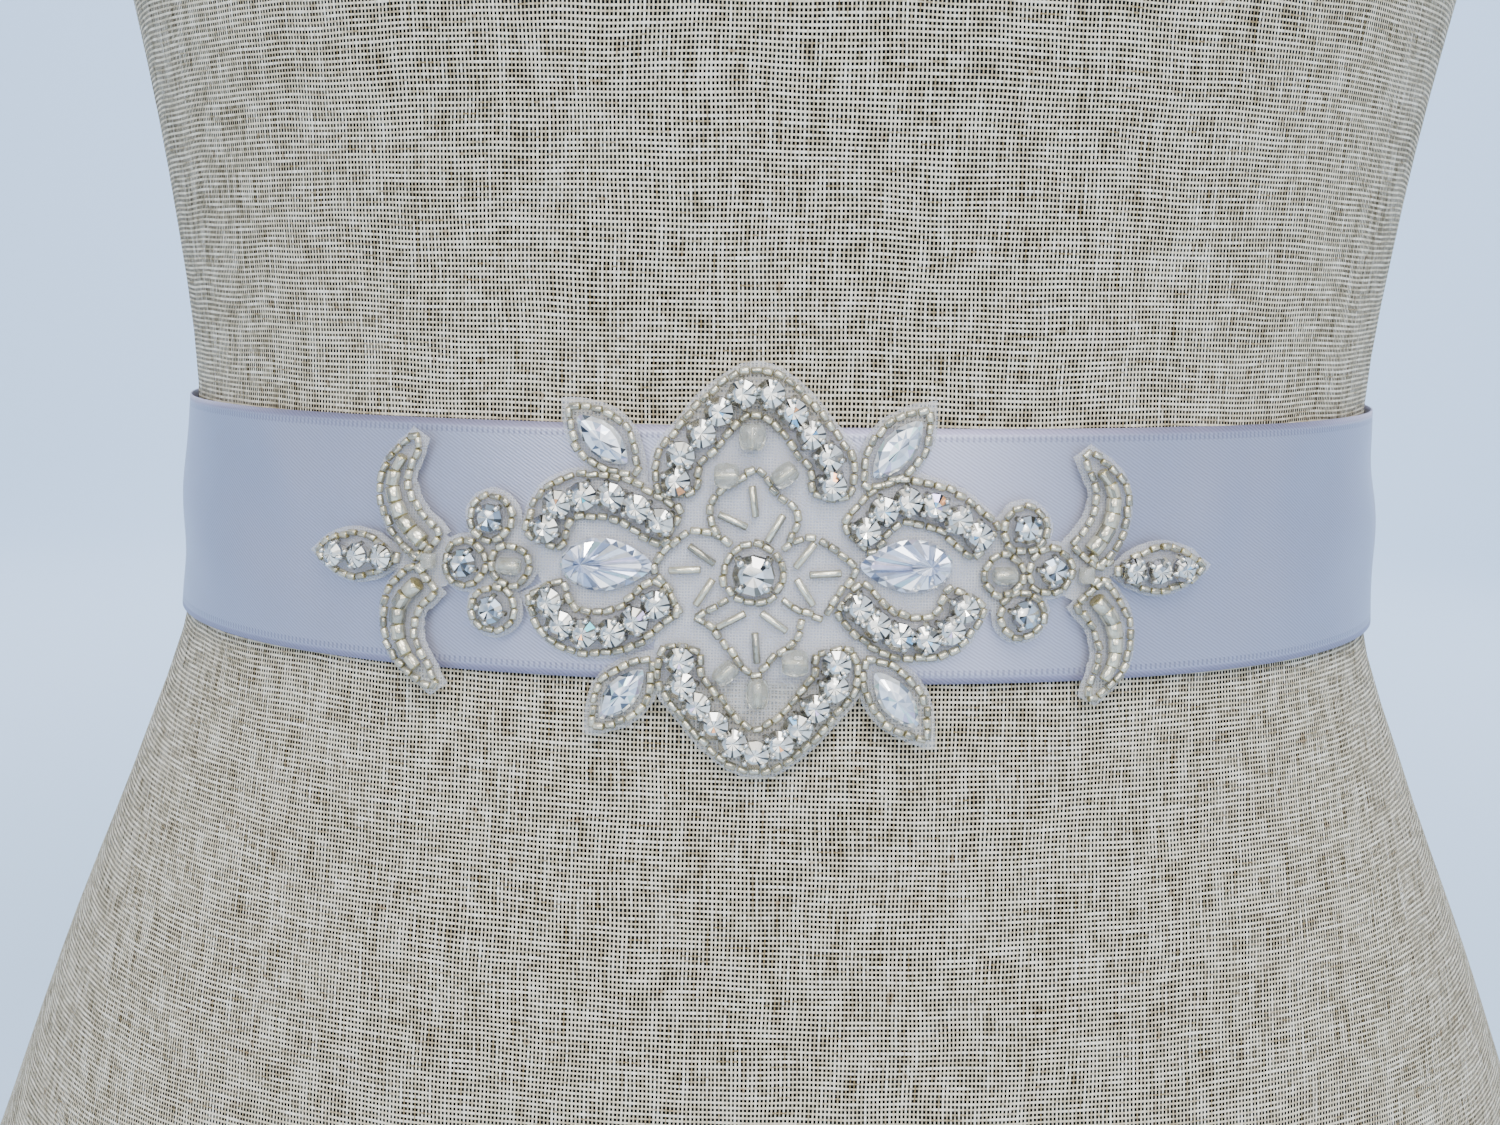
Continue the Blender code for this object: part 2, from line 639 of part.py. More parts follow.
def near(outline, others):
    """Those of the other outlines whose boxes meet this one's."""
    low, high = np.min(outline, axis=0), np.max(outline, axis=0)
    found = []
    for other in others:
        other_low, other_high = np.min(other, axis=0), np.max(other, axis=0)
        if np.all(low < other_high) and np.all(other_low < high):
            found.append(other)
    return found


class Applique:
    """The motifs made so far. Each later one is trimmed to clear the ones before it."""

    def __init__(self, collection):
        self.collection = collection
        self.grown_outlines = []
        self.backing = []

    def add_motif(self, name, grown, stones, rim=True, top_scale=STONE_TABLE, rise=STONE_HEIGHT,
                  finish=GLASS_BEADS):
        """grown gives the motif's outline, grown by so many millimetres all round."""
        outer = grown(0)
        others = near(outer, [other(TRIM_GAP) for other in self.grown_outlines])
        other_rims = near(outer, [other(TRIM_GAP + RIM_WIDTH / MM) for other in self.grown_outlines])
        inner = grown(-RIM_WIDTH / MM) if rim else outer
        first_other = 2 + len(stones)
        first_rim = first_other + len(others)

        def classify(origin):
            if 0 not in origin or any(first_other <= i < first_rim for i in origin):
                return None
            for k in range(len(stones)):
                if 2 + k in origin:
                    return FIRST_STONE + k
            in_floor = 1 in origin and not (rim and any(i >= first_rim for i in origin))
            return FLOOR if in_floor else RIM

        bm = flat_faces([outer, inner, *stones, *others, *other_rims], classify)
        place(bm)
        bmesh.ops.translate(bm, verts=bm.verts, vec=(0, 0, TRIM_BASE))
        top = raise_faces(bm, bm.faces[:], FLOOR_HEIGHT, closes_below=True)
        rim_faces = [f for f in top if f.material_index == RIM]
        if rim_faces:
            raise_faces(bm, rim_faces, RIM_HEIGHT - FLOOR_HEIGHT)
        for k in range(len(stones)):
            stone_faces = [f for f in top if f.is_valid and f.material_index == FIRST_STONE + k]
            if stone_faces:
                raise_faces(bm, stone_faces, rise - FLOOR_HEIGHT, top_scale)
        cut_into_strips(bm, MOTIF_STEP)
        wrap(bm)
        for face in bm.faces:
            face.material_index = 0
        self.grown_outlines.append(grown)
        self.backing.append(grown(NET_MARGIN))
        return add_object(name, bm, finish, self.collection)


def spaced(line_points, count, end_room):
    """Even places along a line, kept away from its ends."""
    line = curve_through(line_points, 80)
    lengths = np.r_[0, np.cumsum(np.linalg.norm(np.diff(line, axis=0), axis=1))]
    at = np.linspace(end_room, lengths[-1] - end_room, count)
    return np.stack([np.interp(at, lengths, line[:, 0]), np.interp(at, lengths, line[:, 1])], 1)


def stone_outline(along, up, radius=STONE_RADIUS):
    return turned(round_outline(radius, STONE_SIDES), along, up)


def bead_outline(along, up, half_length, radius, turn):
    """A clear bead that lies along a direction."""
    return turned(round_outline(radius, STONE_SIDES, half_length / radius), along, up, turn)


def make_arches(applique):
    half = ARCH_HALF_LINE
    for arch in ARCHES:
        whole = [(-x, y) for x, y in half[:0:-1]] + half
        points = [(x + arch.shift_along, arch.side * (y + arch.shift_up)) for x, y in whole]
        line = curve_through(points, ARCH_STEPS)
        places = spaced(points, arch.stones, ARCH_END_ROOM)
        stones = [stone_outline(x, y) for x, y in places]
        applique.add_motif(
            arch.name, lambda extra, line=line: strip_outline(line, CHANNEL_HALF + extra, extra), stones
        )
        applique.backing.append([tuple(p) for p in line])


def make_scrolls(applique):
    for scroll in SCROLLS:
        line = curve_through(scroll.line, SCROLL_STEPS)
        places = spaced(scroll.line, scroll.stones, SCROLL_END_ROOM)
        stones = [stone_outline(x, y) for x, y in places]
        applique.add_motif(
            scroll.name, lambda extra, line=line: strip_outline(line, CHANNEL_HALF + extra, extra), stones
        )


def make_rings(applique, places, radius, make_stone, finish, rise=STONE_HEIGHT):
    """Round motifs: a stone or bead in the middle of a ring."""
    for name, along, up in places:
        def grown(extra, along=along, up=up):
            return turned(round_outline(radius + extra, RING_SIDES), along, up)
        applique.add_motif(name, grown, [make_stone(along, up)], rise=rise, finish=finish)


def make_leaf_shapes(applique, leaves, make_stones, top_scale):
    """Pointed motifs, each with its own stones inside the rim."""
    for leaf in leaves:
        def grown(extra, leaf=leaf):
            flat = leaf_outline(leaf.length + 2 * LEAF_POINT_GROWTH * extra, leaf.width + 2 * extra)
            return turned(flat, leaf.along, leaf.up, leaf.turn)
        applique.add_motif(leaf.name, grown, make_stones(leaf), top_scale=top_scale)


def marquise_stone(leaf):
    gem = leaf_outline(leaf.stone_length, leaf.stone_width, 5)
    return [turned(gem, leaf.along, leaf.up, leaf.turn)]


def tip_stones(tip):
    places = turned([(x, 0) for x in TIP_STONES], tip.along, tip.up, tip.turn)
    return [stone_outline(x, y, TIP_STONE_RADIUS) for x, y in places]


def make_teardrops(applique):
    for drop in TEARDROPS:
        def grown(extra, drop=drop):
            flat = drop_outline(drop.length + 2 * extra, drop.width + 2 * extra)
            return turned(flat, drop.along, drop.up, drop.turn)
        stone = grown(-TEARDROP_EDGE)
        applique.add_motif(
            drop.name, grown, [stone], rim=False, top_scale=TEARDROP_TABLE, finish=CRYSTAL
        )
        applique.backing.append(grown(NET_UNDER_TEARDROP))


def make_arms(applique):
    for arm in ARMS:
        line = curve_through(arm.line, ARM_STEPS)
        share = np.linspace(0, 1, len(line))
        half = ARM_HALF + (ARM_TIP_HALF - ARM_HALF) * share ** 3
        spots = spaced(arm.line, arm.places, ARM_END_ROOM)
        turns = [math.degrees(math.atan2(-n[0], n[1])) for n in line_normals(spots)]
        beads = []
        for (x, y), turn in zip(spots[:-1], turns):
            beads.append(bead_outline(x, y, ARM_BEAD_HALF_LENGTH, ARM_BEAD_RADIUS, turn))
        applique.add_motif(
            arm.name,
            lambda extra, line=line, half=half: strip_outline(line, half + extra, extra),
            beads,
        )


def make_large_beads(applique):
    for bead in LARGE_BEADS:
        outline = bead_outline(bead.along, bead.up, bead.half_length, bead.radius, bead.turn)
        bm = bmesh.new()
        bm.faces.new([bm.verts.new((x, y, 0)) for x, y in outline])
        place(bm)
        bmesh.ops.translate(bm, verts=bm.verts, vec=(0, 0, TRIM_BASE))
        shoulder = raise_faces(bm, bm.faces[:], bead.radius * MM, closes_below=True)
        raise_faces(bm, shoulder, BEAD_CROWN * bead.radius * MM, BEAD_TOP)
        wrap(bm)
        add_object(bead.name, bm, GLASS_BEADS, applique.collection)


def make_net(applique):
    """The backing follows the motifs' outlines, a little larger, with the spaces inside filled."""
    patches = []
    for patch in NET_PATCHES:
        stretch = patch.half_length / patch.half_width
        flat = round_outline(patch.half_width, NET_PATCH_SIDES, stretch)
        patches.append(turned(flat, patch.along, patch.up))
    bm = flat_faces(applique.backing + patches, lambda origin: FLOOR if origin else None)
    place(bm)
    cut_into_strips(bm, NET_STEP)
    bmesh.ops.translate(bm, verts=bm.verts, vec=(0, 0, NET_INSIDE))
    raise_faces(bm, bm.faces[:], WALL, closes_below=True)
    wrap(bm)
    for face in bm.faces:
        face.material_index = 0
    return add_object("applique_net", bm, NET, applique.collection)


clear_scene()
sash = new_collection("bridal_sash")
WAIST_ANGLES, WAIST_LENGTHS = measure_waist()

make_dress_form(sash)
make_band(sash)
make_knot(sash)
make_tail("sash_tail_left", -1, sash)
make_tail("sash_tail_right", 1, sash)

applique = Applique(sash)
make_arches(applique)
make_rings(applique, [("centre_stone", 0, 0)], CENTRE_RING_RADIUS,
           lambda x, y: stone_outline(x, y, CENTRE_STONE_RADIUS), CRYSTAL, CENTRE_STONE_HEIGHT)
make_scrolls(applique)
make_teardrops(applique)
make_rings(applique, CRYSTALS, CRYSTAL_RING_RADIUS,
           lambda x, y: stone_outline(x, y, CRYSTAL_STONE_RADIUS), CRYSTAL)
make_rings(applique, LINKS, LINK_RADIUS,
           lambda x, y: bead_outline(x, y, LINK_BEAD_HALF_LENGTH, LINK_BEAD_RADIUS, 0), GLASS_BEADS)
make_leaf_shapes(applique, LEAVES, marquise_stone, MARQUISE_TABLE)
make_leaf_shapes(applique, TIPS, tip_stones, STONE_TABLE)
make_arms(applique)
make_large_beads(applique)
make_net(applique)
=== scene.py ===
# A bridal sash on a dress form: a satin ribbon with a beaded and jewelled applique on net,
# tied round the waist of a limbless linen form. Metres, +Z up, and the front faces -Y.

import math
import random
from collections import namedtuple
from itertools import cycle

import bmesh
import bpy
import numpy as np
from mathutils import Matrix, Vector
from mathutils.geometry import delaunay_2d_cdt


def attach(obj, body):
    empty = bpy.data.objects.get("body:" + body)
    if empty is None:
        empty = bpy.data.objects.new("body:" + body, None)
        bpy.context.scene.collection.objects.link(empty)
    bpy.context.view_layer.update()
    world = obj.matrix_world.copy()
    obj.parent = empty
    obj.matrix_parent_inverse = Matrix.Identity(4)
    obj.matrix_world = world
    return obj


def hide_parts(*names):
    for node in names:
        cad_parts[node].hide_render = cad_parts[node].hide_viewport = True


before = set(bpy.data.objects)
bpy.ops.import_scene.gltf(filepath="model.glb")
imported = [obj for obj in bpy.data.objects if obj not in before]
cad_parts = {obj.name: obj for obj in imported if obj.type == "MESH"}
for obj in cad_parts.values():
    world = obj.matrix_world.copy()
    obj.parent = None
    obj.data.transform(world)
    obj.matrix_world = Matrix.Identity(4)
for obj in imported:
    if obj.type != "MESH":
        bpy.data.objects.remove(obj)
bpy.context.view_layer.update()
MM = 0.001


# Camera. It looks at the front of the waist from 0.36 m off the form's axis, a little from
# above, with a standard lens, so the ribbon crosses the picture's middle.

CAMERA_PLACE = (0.0067, -0.3599, 0.3018)
CAMERA_YAW = math.radians(-1.83)
CAMERA_PITCH = math.radians(-8.58)
CAMERA_ROLL = math.radians(1.25)
CAMERA_LENS = 44.48

camera_data = bpy.data.cameras.new("camera")
camera_data.lens = CAMERA_LENS
camera_data.clip_start = 0.02
camera = bpy.data.objects.new("camera", camera_data)
camera.matrix_world = (
    Matrix.Translation(CAMERA_PLACE)
    @ Matrix.Rotation(-CAMERA_YAW, 4, "Z")
    @ Matrix.Rotation(math.pi / 2 + CAMERA_PITCH, 4, "X")
    @ Matrix.Rotation(CAMERA_ROLL, 4, "Z")
)
bpy.context.scene.collection.objects.link(camera)
bpy.context.scene.camera = camera


# Dress form. A padded torso without limbs, covered in one front and one back panel of coarse
# linen, seamed at the sides. The cover is stretched tight, so the threads run level and upright.

FORM_SECTION_POWER = 2.25
FORM_SIDES = 120
FORM_RING_STEP = 9 * MM
BUST_HEIGHT = 0.470
BUST_SPREAD = 0.068
BUST_RISE = 0.011
BUST_SIGMA_ACROSS = 0.038
BUST_SIGMA_UP = 0.044
NECK_CAP_INSET = 4 * MM
NECK_CAP_DEPTH = 1.2 * MM

FormSection = namedtuple("FormSection", "height half_width front back")
FORM_SECTIONS = [
    FormSection(0.000, 0.1500, 0.0930, 0.1080),
    FormSection(0.030, 0.1600, 0.0995, 0.1200),
    FormSection(0.070, 0.1640, 0.1040, 0.1280),
    FormSection(0.110, 0.1590, 0.1045, 0.1230),
    FormSection(0.150, 0.1453, 0.1025, 0.1085),
    FormSection(0.180, 0.1342, 0.0985, 0.0965),
    FormSection(0.215, 0.1200, 0.0925, 0.0860),
    FormSection(0.243, 0.1102, 0.0885, 0.0808),
    FormSection(0.262, 0.1084, 0.0870, 0.0792),
    FormSection(0.281, 0.1080, 0.0866, 0.0798),
    FormSection(0.315, 0.1118, 0.0885, 0.0835),
    FormSection(0.355, 0.1190, 0.0945, 0.0895),
    FormSection(0.400, 0.1300, 0.1020, 0.0945),
    FormSection(0.432, 0.1372, 0.1066, 0.0978),
    FormSection(0.460, 0.1420, 0.1086, 0.1000),
    FormSection(0.488, 0.1450, 0.1078, 0.1012),
    FormSection(0.520, 0.1478, 0.1018, 0.1015),
    FormSection(0.560, 0.1520, 0.0910, 0.1005),
    FormSection(0.600, 0.1580, 0.0820, 0.0975),
    FormSection(0.635, 0.1560, 0.0735, 0.0905),
    FormSection(0.655, 0.1400, 0.0665, 0.0835),
    FormSection(0.675, 0.1070, 0.0600, 0.0745),
    FormSection(0.690, 0.0780, 0.0565, 0.0680),
    FormSection(0.705, 0.0600, 0.0550, 0.0640),
    FormSection(0.735, 0.0550, 0.0540, 0.0600),
    FormSection(0.765, 0.0530, 0.0530, 0.0580),
]


def linear(colour):
    """An sRGB hex colour as the linear one that a shader takes."""
    channels = [int(colour[k:k + 2], 16) / 255 for k in (1, 3, 5)]
    return [c / 12.92 if c <= 0.04045 else ((c + 0.055) / 1.055) ** 2.4 for c in channels] + [1.0]


class Finish:
    """A material in the making. Each method but fill adds one node and gives back its output."""

    def __init__(self, name):
        self.material = bpy.data.materials.new(name)
        self.material.use_nodes = True
        self.tree = self.material.node_tree

    def fill(self, node, inputs):
        """Sets a node's inputs, each to a value or to another node's output."""
        for socket, value in inputs.items():
            if isinstance(value, bpy.types.NodeSocket):
                self.tree.links.new(value, node.inputs[socket])
            else:
                node.inputs[socket].default_value = value

    def done(self, inputs):
        self.fill(self.tree.nodes["Principled BSDF"], inputs)
        return self.material

    def add(self, kind, inputs=None, output=0, **settings):
        node = self.tree.nodes.new("ShaderNode" + kind)
        for name, value in settings.items():
            setattr(node, name, value)
        self.fill(node, inputs or {})
        return node.outputs[output]

    def math(self, operation, *values):
        return self.add("Math", dict(enumerate(values)), operation=operation)

    def vector(self, operation, *values):
        return self.add("VectorMath", dict(enumerate(values)), operation=operation)

    def scaled(self, vector, scale):
        return self.add("VectorMath", {0: vector, "Scale": scale}, operation="SCALE")

    def parts(self, vector):
        return list(self.add("SeparateXYZ", {0: vector}).node.outputs)

    def spread(self, value, low, high, to_low=0.0, to_high=1.0):
        return self.add("MapRange", {0: value, 1: low, 2: high, 3: to_low, 4: to_high})

    def blend(self, share, first, second, **settings):
        colours = [linear(c) if isinstance(c, str) else c for c in (first, second)]
        return self.add("Mix", {0: share, 6: colours[0], 7: colours[1]}, 2, data_type="RGBA", **settings)

    def noise(self, place, scale, detail, *limits):
        value = self.add("TexNoise", {"Vector": place, "Scale": scale, "Detail": detail})
        return self.spread(value, *limits) if limits else value


def add_piece(name, bm, materials, replaces=(), smooth=True, crease_angle=40):
    mesh = bpy.data.meshes.new(name)
    bm.to_mesh(mesh)
    bm.free()
    if smooth:
        mesh.shade_smooth()
        mesh.set_sharp_from_angle(angle=math.radians(crease_angle))
    for material in materials:
        mesh.materials.append(material)
    piece = bpy.data.objects.new(name, mesh)
    bpy.context.scene.collection.objects.link(piece)
    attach(piece, "root")
    if replaces:
        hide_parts(*replaces)
    return piece


def smooth_value(x, xs, ys):
    """Cubic curve through the points (xs, ys), read at x."""
    slopes = np.gradient(ys, xs)
    i = int(np.clip(np.searchsorted(xs, x) - 1, 0, len(xs) - 2))
    span = xs[i + 1] - xs[i]
    t = (x - xs[i]) / span
    rise = (1 - 3 * t * t + 2 * t ** 3) * ys[i] + (3 * t * t - 2 * t ** 3) * ys[i + 1]
    bend = (t - 2 * t * t + t ** 3) * slopes[i] + (t ** 3 - t * t) * slopes[i + 1]
    return float(rise + bend * span)


def form_sizes(height):
    heights = [s.height for s in FORM_SECTIONS]
    columns = zip(*[(s.half_width, s.front, s.back) for s in FORM_SECTIONS])
    return [smooth_value(height, heights, column) for column in columns]


def form_point(angle, height):
    """A point of the form's skin. The angle is 0 at the front and grows towards +X."""
    half_width, front, back = form_sizes(height)
    power = 2 / FORM_SECTION_POWER
    depth = front if math.cos(angle) > 0 else back
    x = half_width * math.copysign(abs(math.sin(angle)) ** power, math.sin(angle))
    y = -depth * math.copysign(abs(math.cos(angle)) ** power, math.cos(angle))
    if y < 0:
        across = math.exp(-((abs(x) - BUST_SPREAD) / BUST_SIGMA_ACROSS) ** 2 / 2)
        upward = math.exp(-((height - BUST_HEIGHT) / BUST_SIGMA_UP) ** 2 / 2)
        y -= BUST_RISE * across * upward * abs(math.cos(angle)) ** power
    return Vector((x, y, height))


def make_form_cover():
    """Rings from the base to the neck, with a UV map in metres of cloth on each panel."""
    heights = np.linspace(0, FORM_SECTIONS[-1].height, round(FORM_SECTIONS[-1].height / FORM_RING_STEP))
    angles = [2 * math.pi * k / FORM_SIDES for k in range(FORM_SIDES)]
    rings = [[form_point(a, h) for a in angles] for h in heights]
    bm = bmesh.new()
    uv = bm.loops.layers.uv.new("cloth")
    to_seam = bm.verts.layers.float.new("to_seam")
    loops, cloth = [], {}
    risen = 0.0
    for k, ring in enumerate(rings):
        if k:
            risen += sum((p - q).length for p, q in zip(ring, rings[k - 1])) / len(ring)
        verts = [bm.verts.new(p) for p in ring]
        quarter = len(ring) // 4
        steps = [(p - q).length for p, q in zip(ring, ring[-1:] + ring[:-1])]
        for first, sign in ((0, 1), (0, -1), (2 * quarter, 1), (2 * quarter, -1)):
            length = 0.0
            for j in range(quarter + 1):
                at = (first + sign * j) % len(ring)
                if j:
                    length += steps[at if sign > 0 else (at + 1) % len(ring)]
                panel = "front" if first == 0 else "back"
                cloth[verts[at], panel] = (sign * length, risen)
            seam_at = length
            for j in range(quarter + 1):
                at = (first + sign * j) % len(ring)
                spot = abs(cloth[verts[at], "front" if first == 0 else "back"][0])
                verts[at][to_seam] = seam_at - spot
        loops.append([bm.edges.new((a, b)) for a, b in zip(verts, verts[1:] + verts[:1])])
    for lower, upper in zip(loops, loops[1:]):
        bmesh.ops.bridge_loops(bm, edges=lower + upper)
    for face in bm.faces:
        panel = "front" if face.calc_center_median().y < 0 else "back"
        for loop in face.loops:
            loop[uv].uv = cloth[loop.vert, panel]
    base = bmesh.ops.contextual_create(bm, geom=loops[0])["faces"]
    cap = bmesh.ops.contextual_create(bm, geom=loops[-1])["faces"]
    bmesh.ops.inset_region(bm, faces=cap, thickness=NECK_CAP_INSET, depth=0)
    bmesh.ops.inset_region(bm, faces=cap, thickness=NECK_CAP_DEPTH, depth=-NECK_CAP_DEPTH)
    for face in bm.faces:
        if abs(face.normal.z) > 0.9:
            for loop in face.loops:
                loop[uv].uv = loop.vert.co.xy
                loop.vert[to_seam] = max(loop.vert[to_seam], 2 * MM)
    for face in base:
        face.smooth = False
    bmesh.ops.recalc_face_normals(bm, faces=bm.faces[:])
    return bm


def make_linen():
    """Plain-woven coarse linen: pale uneven threads with painted shade in the small holes between them
    and at the threads' edges, slubs and flecks of bark, matt."""
    warp_spacing, weft_spacing = 0.61 * MM, 0.80 * MM
    middle = (0.5, 0.5, 0.5)
    linen = Finish("woven_linen")
    uv = linen.add("UVMap", uv_map="cloth")
    drift = linen.add("TexNoise", {"Vector": uv, "Scale": 55.0, "Detail": 1.0}, "Color")
    drift = linen.scaled(linen.vector("SUBTRACT", drift, middle), 1.2 * MM)
    place = linen.vector("ADD", uv, drift)
    cells = linen.vector("MULTIPLY", place, (1 / warp_spacing, 1 / weft_spacing, 0))
    inside = linen.vector("SUBTRACT", linen.vector("FRACTION", cells), middle)
    off_warp, off_weft, _ = linen.parts(linen.vector("ABSOLUTE", inside))
    warp_number, weft_number, _ = linen.parts(linen.vector("FLOOR", cells))
    across, up, _ = linen.parts(cells)

    covers, tones = [], []
    for number, along, off in ((warp_number, up, off_warp), (weft_number, across, off_weft)):
        thread = linen.add("CombineXYZ", {
            0: linen.math("MULTIPLY", number, 7.31),
            1: linen.math("MULTIPLY", along, 0.09),
            2: 3.0 * len(tones),
        })
        tones.append(linen.add("TexNoise", {"Vector": thread, "Scale": 1.0, "Detail": 3.0,
                                            "Roughness": 0.62}))
        half = linen.spread(tones[-1], 0.3, 0.7, 0.138, 0.250)
        covers.append(linen.spread(linen.math("SUBTRACT", half, off), -0.015, 0.03))

    waves = [linen.math("SINE", linen.math("MULTIPLY", along, math.pi)) for along in (across, up)]
    weave = linen.math("MULTIPLY", *waves)
    heights = [
        linen.math("MULTIPLY", cover, linen.spread(weave, -1.0, 1.0, low, high))
        for cover, low, high in ((covers[0], 0.30, 1.0), (covers[1], 1.0, 0.30))
    ]
    height = linen.math("MAXIMUM", *heights)
    weft_on_top = linen.math("GREATER_THAN", heights[1], heights[0])

    ramp = linen.add("ValToRGB", {0: linen.add("Mix", {0: weft_on_top, 2: tones[0], 3: tones[1]})})
    stops = ramp.node.color_ramp.elements
    stops[0].position, stops[1].position = 0.30, 0.72
    stops[0].color, stops[1].color = linear("#8E7A57"), linear("#FBF2E0")
    stops.new(0.50).color = linear("#D9CBAE")
    colour = linen.blend(linen.noise(uv, 420.0, 1.0, 0.70, 0.76, 0.0, 0.6), ramp, "#8F6F49")
    near_seam = linen.add("Attribute", output="Fac", attribute_name="to_seam")
    seam = linen.spread(near_seam, 0.0, 0.7 * MM, 0.45, 1.0)
    # Painted shade: the colour goes nearly black where the weave is low, in the holes between the threads and at
    # their edges, and it is also darkened along the side seams.
    shade = linen.math("MULTIPLY", linen.spread(height, 0.0, 0.28, 0.0, 1.0), seam)
    relief = linen.math("MULTIPLY", height, seam)
    return linen.done({
        "Base Color": linen.scaled(colour, shade),
        "Normal": linen.add("Bump", {"Height": relief, "Strength": 0.7, "Distance": 0.40 * MM}),
        "Roughness": 0.92,
        "Specular IOR Level": 0.18,
    })


linen_form = add_piece("linen_form", make_form_cover(), [make_linen()], ["dress_form"])


# Ribbon round the waist. A single-face satin ribbon 38 mm wide, with a narrow woven edge on both
# sides. It lies flat at the front, has soft creases beside the applique and is drawn together
# at the back, where it enters the knot.

RIBBON_WIDTH = 38 * MM
RIBBON_HEIGHT = 0.262
RIBBON_TILT = 1.0 * MM
RIBBON_THICKNESS = 0.35 * MM
RIBBON_FACE = 1.5 * MM
RIBBON_COLUMNS = 420
RIBBON_ROWS = 26
KNOT_HALF = 15 * MM
KNOT_ENTRY = 3 * MM
GATHER_LENGTH = 48 * MM
GATHERED_HALF = 8 * MM
GATHER_RIDGE = 1.6 * MM
GATHER_RIDGE_START = 6 * MM
GATHER_ROWS = 6

Fold = namedtuple("Fold", "along up half_length half_width rise lean")
RIBBON_FOLDS = [
    Fold(-0.080, 0.009, 0.015, 0.0085, 0.0008, -0.35),
    Fold(-0.088, -0.009, 0.020, 0.0085, 0.0008, -0.20),
    Fold(0.080, 0.009, 0.015, 0.0085, 0.0008, 0.30),
    Fold(0.090, -0.009, 0.018, 0.0085, 0.0008, 0.25),
    Fold(-0.140, 0.002, 0.030, 0.0080, 0.0009, 0.12),
    Fold(0.145, -0.003, 0.028, 0.0080, 0.0009, -0.15),
    Fold(-0.215, 0.006, 0.026, 0.0070, 0.0010, -0.10),
    Fold(0.220, 0.005, 0.026, 0.0070, 0.0010, 0.12),
]

# Soft creases of the cloth between those folds: ridges rise and troughs sink
RIBBON_CREASES = [
    Fold(-0.066, 0.011, 0.0050, 0.0090, 0.00028, -1.20),
    Fold(-0.071, -0.004, 0.0045, 0.0110, -0.00035, -1.00),
    Fold(-0.078, 0.002, 0.0040, 0.0120, 0.00030, -0.80),
    Fold(-0.093, 0.012, 0.0080, 0.0060, -0.00045, -0.30),
    Fold(-0.104, -0.006, 0.0110, 0.0070, 0.00035, -0.15),
    Fold(-0.118, 0.007, 0.0140, 0.0060, -0.00040, 0.10),
    Fold(-0.132, -0.010, 0.0160, 0.0050, -0.00035, 0.08),
    Fold(0.064, 0.010, 0.0060, 0.0090, -0.00030, 1.00),
    Fold(0.071, 0.003, 0.0040, 0.0130, 0.00032, 1.10),
    Fold(0.077, 0.006, 0.0040, 0.0120, -0.00045, 1.10),
    Fold(0.086, 0.000, 0.0060, 0.0100, 0.00030, 0.60),
    Fold(0.100, 0.010, 0.0120, 0.0060, -0.00040, 0.20),
    Fold(0.112, -0.008, 0.0140, 0.0060, -0.00035, -0.12),
    Fold(0.130, 0.009, 0.0160, 0.0050, -0.00035, -0.10),
    Fold(-0.165, -0.009, 0.0200, 0.0050, -0.00040, 0.05),
    Fold(-0.190, 0.010, 0.0180, 0.0050, -0.00045, -0.08),
    Fold(0.168, 0.009, 0.0190, 0.0050, -0.00040, -0.06),
    Fold(0.195, -0.010, 0.0180, 0.0050, -0.00045, 0.08),
]


def smooth_step(t):
    t = min(max(t, 0.0), 1.0)
    return t * t * (3 - 2 * t)


def lift_by(folds, along, up):
    total = 0.0
    for fold in folds:
        x = (along - fold.along) / fold.half_length
        y = (up - fold.up - fold.lean * (along - fold.along)) / fold.half_width
        total += fold.rise * math.exp(-x * x - y * y)
    return total


WAIST_LOW = form_sizes(RIBBON_HEIGHT - RIBBON_WIDTH / 2)
WAIST_HIGH = form_sizes(RIBBON_HEIGHT + RIBBON_WIDTH / 2)


def waist_point(angle, up, out):
    """A point over the straight-sided surface between the ribbon's two edges."""
    share = up / RIBBON_WIDTH + 0.5
    half_width, front, back = [a + (b - a) * share for a, b in zip(WAIST_LOW, WAIST_HIGH)]
    power = 2 / FORM_SECTION_POWER
    depth = front if math.cos(angle) > 0 else back
    x = half_width * math.copysign(abs(math.sin(angle)) ** power, math.sin(angle))
    y = -depth * math.copysign(abs(math.cos(angle)) ** power, math.cos(angle))
    steep = FORM_SECTION_POWER - 1
    normal_x = math.copysign(abs(x / half_width) ** steep / half_width, x)
    normal_y = math.copysign(abs(y / depth) ** steep / depth, y)
    size = math.hypot(normal_x, normal_y)
    lift = RIBBON_TILT * math.sin(angle)
    return Vector((x + out * normal_x / size, y + out * normal_y / size, RIBBON_HEIGHT + up + lift))


def measure_waist(samples=2880):
    """Angles round the waist and the length along the ribbon's middle that each stands at."""
    angles = np.linspace(-math.pi, math.pi, samples + 1)
    ring = np.array([waist_point(a, 0, 0) for a in angles])
    lengths = np.r_[0, np.cumsum(np.linalg.norm(np.diff(ring, axis=0), axis=1))]
    return angles, lengths - np.interp(0, angles, lengths)


WAIST_ANGLES, WAIST_LENGTHS = measure_waist()
BAND_HALF = WAIST_LENGTHS[-1] - KNOT_HALF


def wrap(verts):
    """Lays flat points, X along the ribbon, Y up and Z outwards, on the waist and its folds."""
    for v in verts:
        angle = float(np.interp(v.co.x, WAIST_LENGTHS, WAIST_ANGLES))
        v.co = waist_point(angle, v.co.y, v.co.z + lift_by(RIBBON_FOLDS, v.co.x, v.co.y))


def cloth_map(bm):
    """A UV map in metres of flat cloth, from the points' places before the cloth is shaped."""
    uv = bm.loops.layers.uv.new("cloth")
    for face in bm.faces:
        for loop in face.loops:
            loop[uv].uv = loop.vert.co.xy


